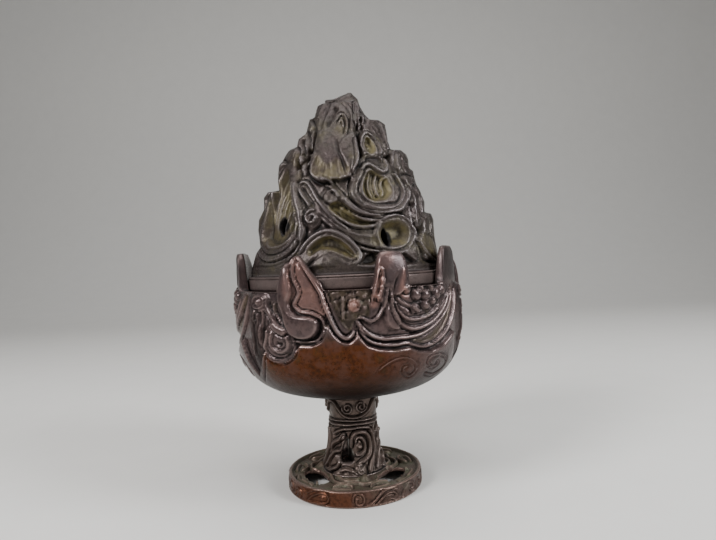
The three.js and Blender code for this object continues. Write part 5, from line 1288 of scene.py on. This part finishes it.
def paint_hole_shade(piece):
    """Paints shade on the walls of the smoke holes and on the bronze to their right, so they read as dark
    openings
    """
    x, y, z = triples(piece.data.vertices, "co").T / MM
    hole_shade = np.zeros(len(x))
    for angle, middle in SMOKE_HOLES:
        turn = math.radians(angle)
        across = x * math.cos(turn) + y * math.sin(turn)
        ahead = x * math.sin(turn) - y * math.cos(turn)
        gap = np.hypot(across / SMOKE_HALF_WIDTH, (z - middle) / SMOKE_HALF_HEIGHT)
        beside = np.hypot((across - HOLE_SHADE_SHIFT) / HOLE_SHADE_HALF_WIDTH, (z - middle) / HOLE_SHADE_HALF_HEIGHT)
        hole_shaded = np.maximum(1 - fade(gap, 1.02, 1.25), 1 - fade(beside, 0.8, 1.1))
        hole_shade = np.maximum(hole_shade, hole_shaded * (ahead > 0))
    store(piece.data, "painted_shade", hole_shade)


cut(mountain, [smoke_hole(at) for at in SMOKE_HOLES])
paint_hole_shade(mountain)


# Wear on the ridges and painted shade in the hollows, measured on the finished meshes

FINE_ROUNDS = 3
BROAD_ROUNDS = 26
SMOOTHING = 0.6


def weather(piece):
    """Stores how far each point stands out of the surface round it, closely and broadly"""
    mesh = piece.data
    count = len(mesh.vertices)
    points = triples(mesh.vertices, "co") / MM
    normals = triples(mesh.vertices, "normal")
    ends = np.empty(len(mesh.edges) * 2, int)
    mesh.edges.foreach_get("vertices", ends)
    a, b = ends.reshape(-1, 2).T
    degree = np.maximum(np.bincount(a, minlength=count) + np.bincount(b, minlength=count), 1)
    smooth = points.copy()
    for step in range(1, BROAD_ROUNDS + 1):
        total = np.stack([np.bincount(a, smooth[b, axis], count) + np.bincount(b, smooth[a, axis], count)
                          for axis in range(3)], axis=1)
        smooth = (1 - SMOOTHING) * smooth + SMOOTHING * total / degree[:, None]
        if step == FINE_ROUNDS:
            store(mesh, "ridges", ((points - smooth) * normals).sum(axis=1))
    store(mesh, "swell", ((points - smooth) * normals).sum(axis=1))


for cast in (mountain, bowl, stem, foot, band):
    weather(cast)


# Materials

class Number:
    """A number that varies over a surface; sums of it add the Math nodes"""

    def __init__(self, finish, socket):
        self.finish = finish
        self.socket = socket

    def maths(self, operation, first, second, limit=False):
        """A Math node on two numbers"""
        node = self.finish.node("ShaderNodeMath", {"operation": operation, "use_clamp": limit},
                                {0: first, 1: second})
        return Number(self.finish, node.outputs[0])

    def __add__(self, other):
        return self.maths("ADD", self, other)

    def __radd__(self, other):
        return self.maths("ADD", other, self)

    def __sub__(self, other):
        return self.maths("SUBTRACT", self, other)

    def __rsub__(self, other):
        return self.maths("SUBTRACT", other, self)

    def __mul__(self, other):
        return self.maths("MULTIPLY", self, other)

    def __rmul__(self, other):
        return self.maths("MULTIPLY", other, self)

    def limited(self):
        """The number held between 0 and 1"""
        return self.maths("ADD", self, 0, limit=True)

    def over(self, start, end):
        """0 at start and 1 at end, soft between them"""
        node = self.finish.node("ShaderNodeMapRange", {"interpolation_type": "SMOOTHSTEP"},
                                {"Value": self, "From Min": start, "From Max": end})
        return Number(self.finish, node.outputs[0])


class Finish:
    """A material made of nodes"""

    def __init__(self, name, **plain):
        self.material = bpy.data.materials.new(name)
        self.material.use_nodes = True
        self.tree = self.material.node_tree
        self.shader = self.tree.nodes["Principled BSDF"]
        self.place = self.node("ShaderNodeTexCoord").outputs["Object"]
        for socket, value in plain.items():
            self.shader.inputs[socket.replace("_", " ")].default_value = value

    def node(self, kind, settings=None, sockets=None):
        """A node with its settings, then the values or links of its sockets"""
        made = self.tree.nodes.new(kind)
        for name, value in (settings or {}).items():
            setattr(made, name, value)
        for name, value in (sockets or {}).items():
            self.feed(made.inputs[name], value)
        return made

    def feed(self, socket, value):
        """Links a socket to a number or another socket, or sets it"""
        if isinstance(value, Number):
            value = value.socket
        if isinstance(value, bpy.types.NodeSocket):
            self.tree.links.new(value, socket)
        else:
            socket.default_value = value

    def noise(self, size, detail=3.0, roughness=0.55, stretch=(1, 1, 1)):
        """Smooth noise from 0 to 1 whose lumps are size millimetres across"""
        place = self.place
        if stretch != (1, 1, 1):
            place = self.node("ShaderNodeMapping", None, {"Vector": place, "Scale": stretch}).outputs[0]
        scale = 1 / (size * MM)
        made = self.node("ShaderNodeTexNoise", None,
                         {"Vector": place, "Scale": scale, "Detail": detail, "Roughness": roughness})
        return Number(self, made.outputs[0])

    def stored(self, name):
        """A number that the mesh keeps for each of its points"""
        made = self.node("ShaderNodeAttribute", {"attribute_name": name})
        return Number(self, made.outputs["Fac"])

    def mixed(self, amount, first, second):
        """One colour where the amount is 0 and the other where it is 1"""
        made = self.node("ShaderNodeMix", {"data_type": "RGBA"}, {0: amount, 6: first, 7: second})
        return made.outputs[2]

    def bump(self, height, depth):
        """Small relief; depth is in millimetres"""
        made = self.node("ShaderNodeBump", None, {"Height": height, "Distance": depth * MM, "Strength": 1.0})
        self.feed(self.shader.inputs["Normal"], made.outputs[0])

    def look(self, **inputs):
        """Feeds the shader's own sockets"""
        for name, value in inputs.items():
            self.feed(self.shader.inputs[name.replace("_", " ")], value)


def tint(red, green, blue):
    """A colour from its 0 to 255 numbers as a screen shows them"""
    def linear(value):
        share = value / 255
        return share / 12.92 if share <= 0.04045 else ((share + 0.055) / 1.055) ** 2.4
    return (linear(red), linear(green), linear(blue), 1)


def patina(name, base, second, dark, olive, worn, olive_spread, rub, shine, patches=0.5, rough=0.3, glow=None,
           copper=None):
    """Old bronze: a skin of two tones, near black in the grooves with dark patina and painted shade, dull
    olive where dirt has settled, painted shade where the mesh holds it, and bright where hands rubbed the
    ridges"""
    finish = Finish(name, Specular_IOR_Level=0.22)
    cloud = finish.noise(19, 4)
    blotch = finish.noise(5.5, 5, 0.6)
    speck = finish.noise(1.6, 4, 0.7)
    grain = finish.noise(0.6, 3, 0.65)
    ridges = finish.stored("ridges")
    swell = finish.stored("swell")
    tone = (cloud * 0.7 + blotch * 0.3).over(0.37, 0.63) * patches
    skin = finish.mixed(tone, base, second)
    warm = finish.stored("glow") * (0.75 + 0.25 * blotch.over(0.36, 0.58))
    if glow:
        skin = finish.mixed(warm, skin, glow)
    skin = finish.mixed((speck + blotch * 0.6).over(0.74, 0.98) * 0.5, skin, dark)
    uneven = blotch.over(0.36, 0.6)
    settled = (finish.stored("stain") * (0.35 + 0.65 * uneven)
               + (blotch * 0.6 + cloud * 0.4).over(0.53, 0.66) * olive_spread).limited()
    skin = finish.mixed(settled * 0.85, skin, olive)
    if copper:
        skin = finish.mixed(finish.stored("copper") * (0.45 + 0.55 * uneven), skin, copper)
    # Painted shade that the mesh carries
    painted_shade = (finish.stored("painted_shade") * (0.85 + 0.3 * cloud)).limited()
    skin = finish.mixed(painted_shade, skin, dark)
    # Painted shade in the grooves, together with their dark patina
    groove_patina_and_shade = ((swell * -1) + (speck - 0.5) * 0.3).over(0.05, 0.8) * (1 - 0.55 * settled)
    skin = finish.mixed(groove_patina_and_shade * 0.9, skin, dark)
    proud = (ridges * 3 + swell * 0.55 + (speck - 0.5) * 0.9).over(0.3, 1.5)
    rubbed = (proud * rub * (1 - 0.7 * painted_shade)).limited()
    skin = finish.mixed(rubbed * 0.7, skin, worn)
    metal = (0.5 - 0.3 * settled + 0.15 * rubbed + 0.2 * warm).limited()
    dull = (shine + 0.2 * groove_patina_and_shade + 0.3 * painted_shade + 0.12 * settled - 0.1 * rubbed + 0.18 * (speck - 0.5)
            + 0.14 * (cloud - 0.5))
    finish.look(Base_Color=skin, Metallic=metal, Roughness=dull)
    finish.bump(speck * 0.7 + blotch * 0.8 + grain * 0.45, rough)
    return finish.material


def clothe(piece, material):
    """Gives a piece one material"""
    piece.data.materials.clear()
    piece.data.materials.append(material)


clothe(mountain, patina("mountain_patina", base=tint(63, 53, 51), second=tint(72, 66, 59),
                        dark=tint(13, 10, 9), olive=tint(104, 94, 62), worn=tint(132, 123, 123), patches=0.8,
                        olive_spread=0.3, rub=0.55, shine=0.29, rough=0.26))
clothe(band, patina("band_patina", base=tint(94, 80, 76), second=tint(80, 71, 69), dark=tint(32, 25, 23),
                    olive=tint(88, 76, 58), worn=tint(146, 128, 124), olive_spread=0.1, rub=0.5, shine=0.34,
                    rough=0.2))
clothe(bowl, patina("bowl_patina", base=tint(84, 68, 66), second=tint(68, 60, 61), dark=tint(13, 9, 8),
                    olive=tint(84, 73, 44), worn=tint(140, 120, 116), patches=0.7, olive_spread=0.2, rub=0.55,
                    shine=0.21, rough=0.15, glow=tint(76, 39, 15), copper=tint(164, 122, 111)))
clothe(stem, patina("stem_patina", base=tint(88, 74, 67), second=tint(96, 85, 79), dark=tint(14, 11, 10),
                    olive=tint(86, 78, 54), worn=tint(156, 140, 134), olive_spread=0.2, rub=0.8, shine=0.32))
clothe(foot, patina("foot_patina", base=tint(86, 68, 60), second=tint(80, 64, 60), dark=tint(18, 13, 11),
                    olive=tint(88, 88, 70), worn=tint(154, 128, 116), patches=0.7, olive_spread=0.25, rub=0.7,
                    shine=0.34, glow=tint(90, 55, 38)))


def steel():
    """Plain steel with fine turning marks and a little tarnish"""
    finish = Finish("rod_steel", Metallic=1.0)
    cloud = finish.noise(3, 4)
    marks = finish.noise(0.5, 2, stretch=(1, 1, 6))
    stain = cloud.over(0.45, 0.7)
    finish.look(Base_Color=finish.mixed(stain, tint(176, 172, 166), tint(120, 108, 96)),
                Roughness=0.32 + 0.2 * stain + 0.1 * marks)
    finish.bump(marks, 0.02)
    return finish.material


hardware = steel()
for node in ("tie_rod", "upper_washer", "upper_nut", "lower_washer", "lower_nut"):
    clothe(bpy.data.objects[node], hardware)


# Floor, lights and camera, in metres

FLOOR_FRONT = -1.6
FLOOR_BACK = 0.9
SWEEP_RADIUS = 0.7
SWEEP_TOP = 1.2
FLOOR_HALF_WIDTH = 2.5
FLOOR_ROWS = 60


def make_floor():
    """A pale sheet that lies flat under the censer and curves up behind it"""
    flat = FLOOR_BACK - FLOOR_FRONT
    curved = SWEEP_RADIUS * math.pi / 2
    bm = bmesh.new()
    bmesh.ops.create_grid(bm, x_segments=1, y_segments=FLOOR_ROWS, size=1)
    for vert in bm.verts:
        along = (vert.co.y + 1) / 2 * (flat + curved + SWEEP_TOP)
        turn = min(max(along - flat, 0) / SWEEP_RADIUS, math.pi / 2)
        vert.co.x *= FLOOR_HALF_WIDTH
        vert.co.y = FLOOR_FRONT + min(along, flat) + SWEEP_RADIUS * math.sin(turn)
        vert.co.z = SWEEP_RADIUS * (1 - math.cos(turn)) + max(along - flat - curved, 0)
    floor = new_object("floor", bm)
    pale = Finish("floor_paper", Roughness=0.85)
    fleck = pale.noise(30, 3)
    pale.look(Base_Color=pale.mixed(fleck, tint(212, 209, 204), tint(218, 215, 210)))
    clothe(floor, pale.material)


def area_light(name, place, aim, size, power, color=(1, 1, 1)):
    """A soft rectangular light that looks at a point"""
    data = bpy.data.lights.new(name, "AREA")
    data.shape = "RECTANGLE"
    data.size, data.size_y = size
    data.energy = power
    data.color = color
    light = bpy.data.objects.new(name, data)
    bpy.context.scene.collection.objects.link(light)
    light.location = place
    light.rotation_euler = (Vector(aim) - Vector(place)).to_track_quat("-Z", "Y").to_euler()


ROOM_COLOR = (0.86, 0.88, 0.9, 1)
ROOM_STRENGTH = 0.27


def make_world():
    """Even pale light from all round"""
    world = bpy.data.worlds.new("room")
    world.use_nodes = True
    background = world.node_tree.nodes["Background"]
    background.inputs["Color"].default_value = ROOM_COLOR
    background.inputs["Strength"].default_value = ROOM_STRENGTH
    bpy.context.scene.world = world


# Place in millimetres, and the focal length in pixels of a picture as wide as the photograph
CAMERA_PLACE = (6.0, -288.2, 112.0)
CAMERA_PITCH = math.radians(0.69)
CAMERA_ROLL = math.radians(2.5)
FOCAL_PIXELS = 560.5
PICTURE_WIDTH = 716
SENSOR_WIDTH = 36


def make_camera():
    """A camera at the photograph's angle, close to the censer and a little rolled"""
    data = bpy.data.cameras.new("camera")
    data.sensor_width = SENSOR_WIDTH
    data.lens = SENSOR_WIDTH * FOCAL_PIXELS / PICTURE_WIDTH
    data.clip_start = 0.01
    camera = bpy.data.objects.new("camera", data)
    bpy.context.scene.collection.objects.link(camera)
    ahead = Vector((0, math.cos(CAMERA_PITCH), -math.sin(CAMERA_PITCH)))
    level_up = Vector((0, math.sin(CAMERA_PITCH), math.cos(CAMERA_PITCH)))
    level_right = Vector((1, 0, 0))
    right = level_right * math.cos(CAMERA_ROLL) - level_up * math.sin(CAMERA_ROLL)
    up = level_right * math.sin(CAMERA_ROLL) + level_up * math.cos(CAMERA_ROLL)
    turn = Matrix((right, up, -ahead)).transposed()
    camera.matrix_world = Matrix.Translation(Vector(CAMERA_PLACE) * MM) @ turn.to_4x4()
    bpy.context.scene.camera = camera


make_floor()
make_world()
area_light("window_left", place=(-0.7, -0.6, 0.75), aim=(0, 0, 0.11), size=(0.36, 0.36), power=12.8,
           color=(0.97, 0.98, 1))
area_light("window_right", place=(0.75, -0.35, 0.6), aim=(0, 0, 0.12), size=(0.3, 0.4), power=9.0,
           color=(0.93, 0.97, 1))
area_light("ceiling", place=(0.05, -0.05, 1.1), aim=(0, 0, 0.1), size=(0.9, 0.9), power=7)
make_camera()
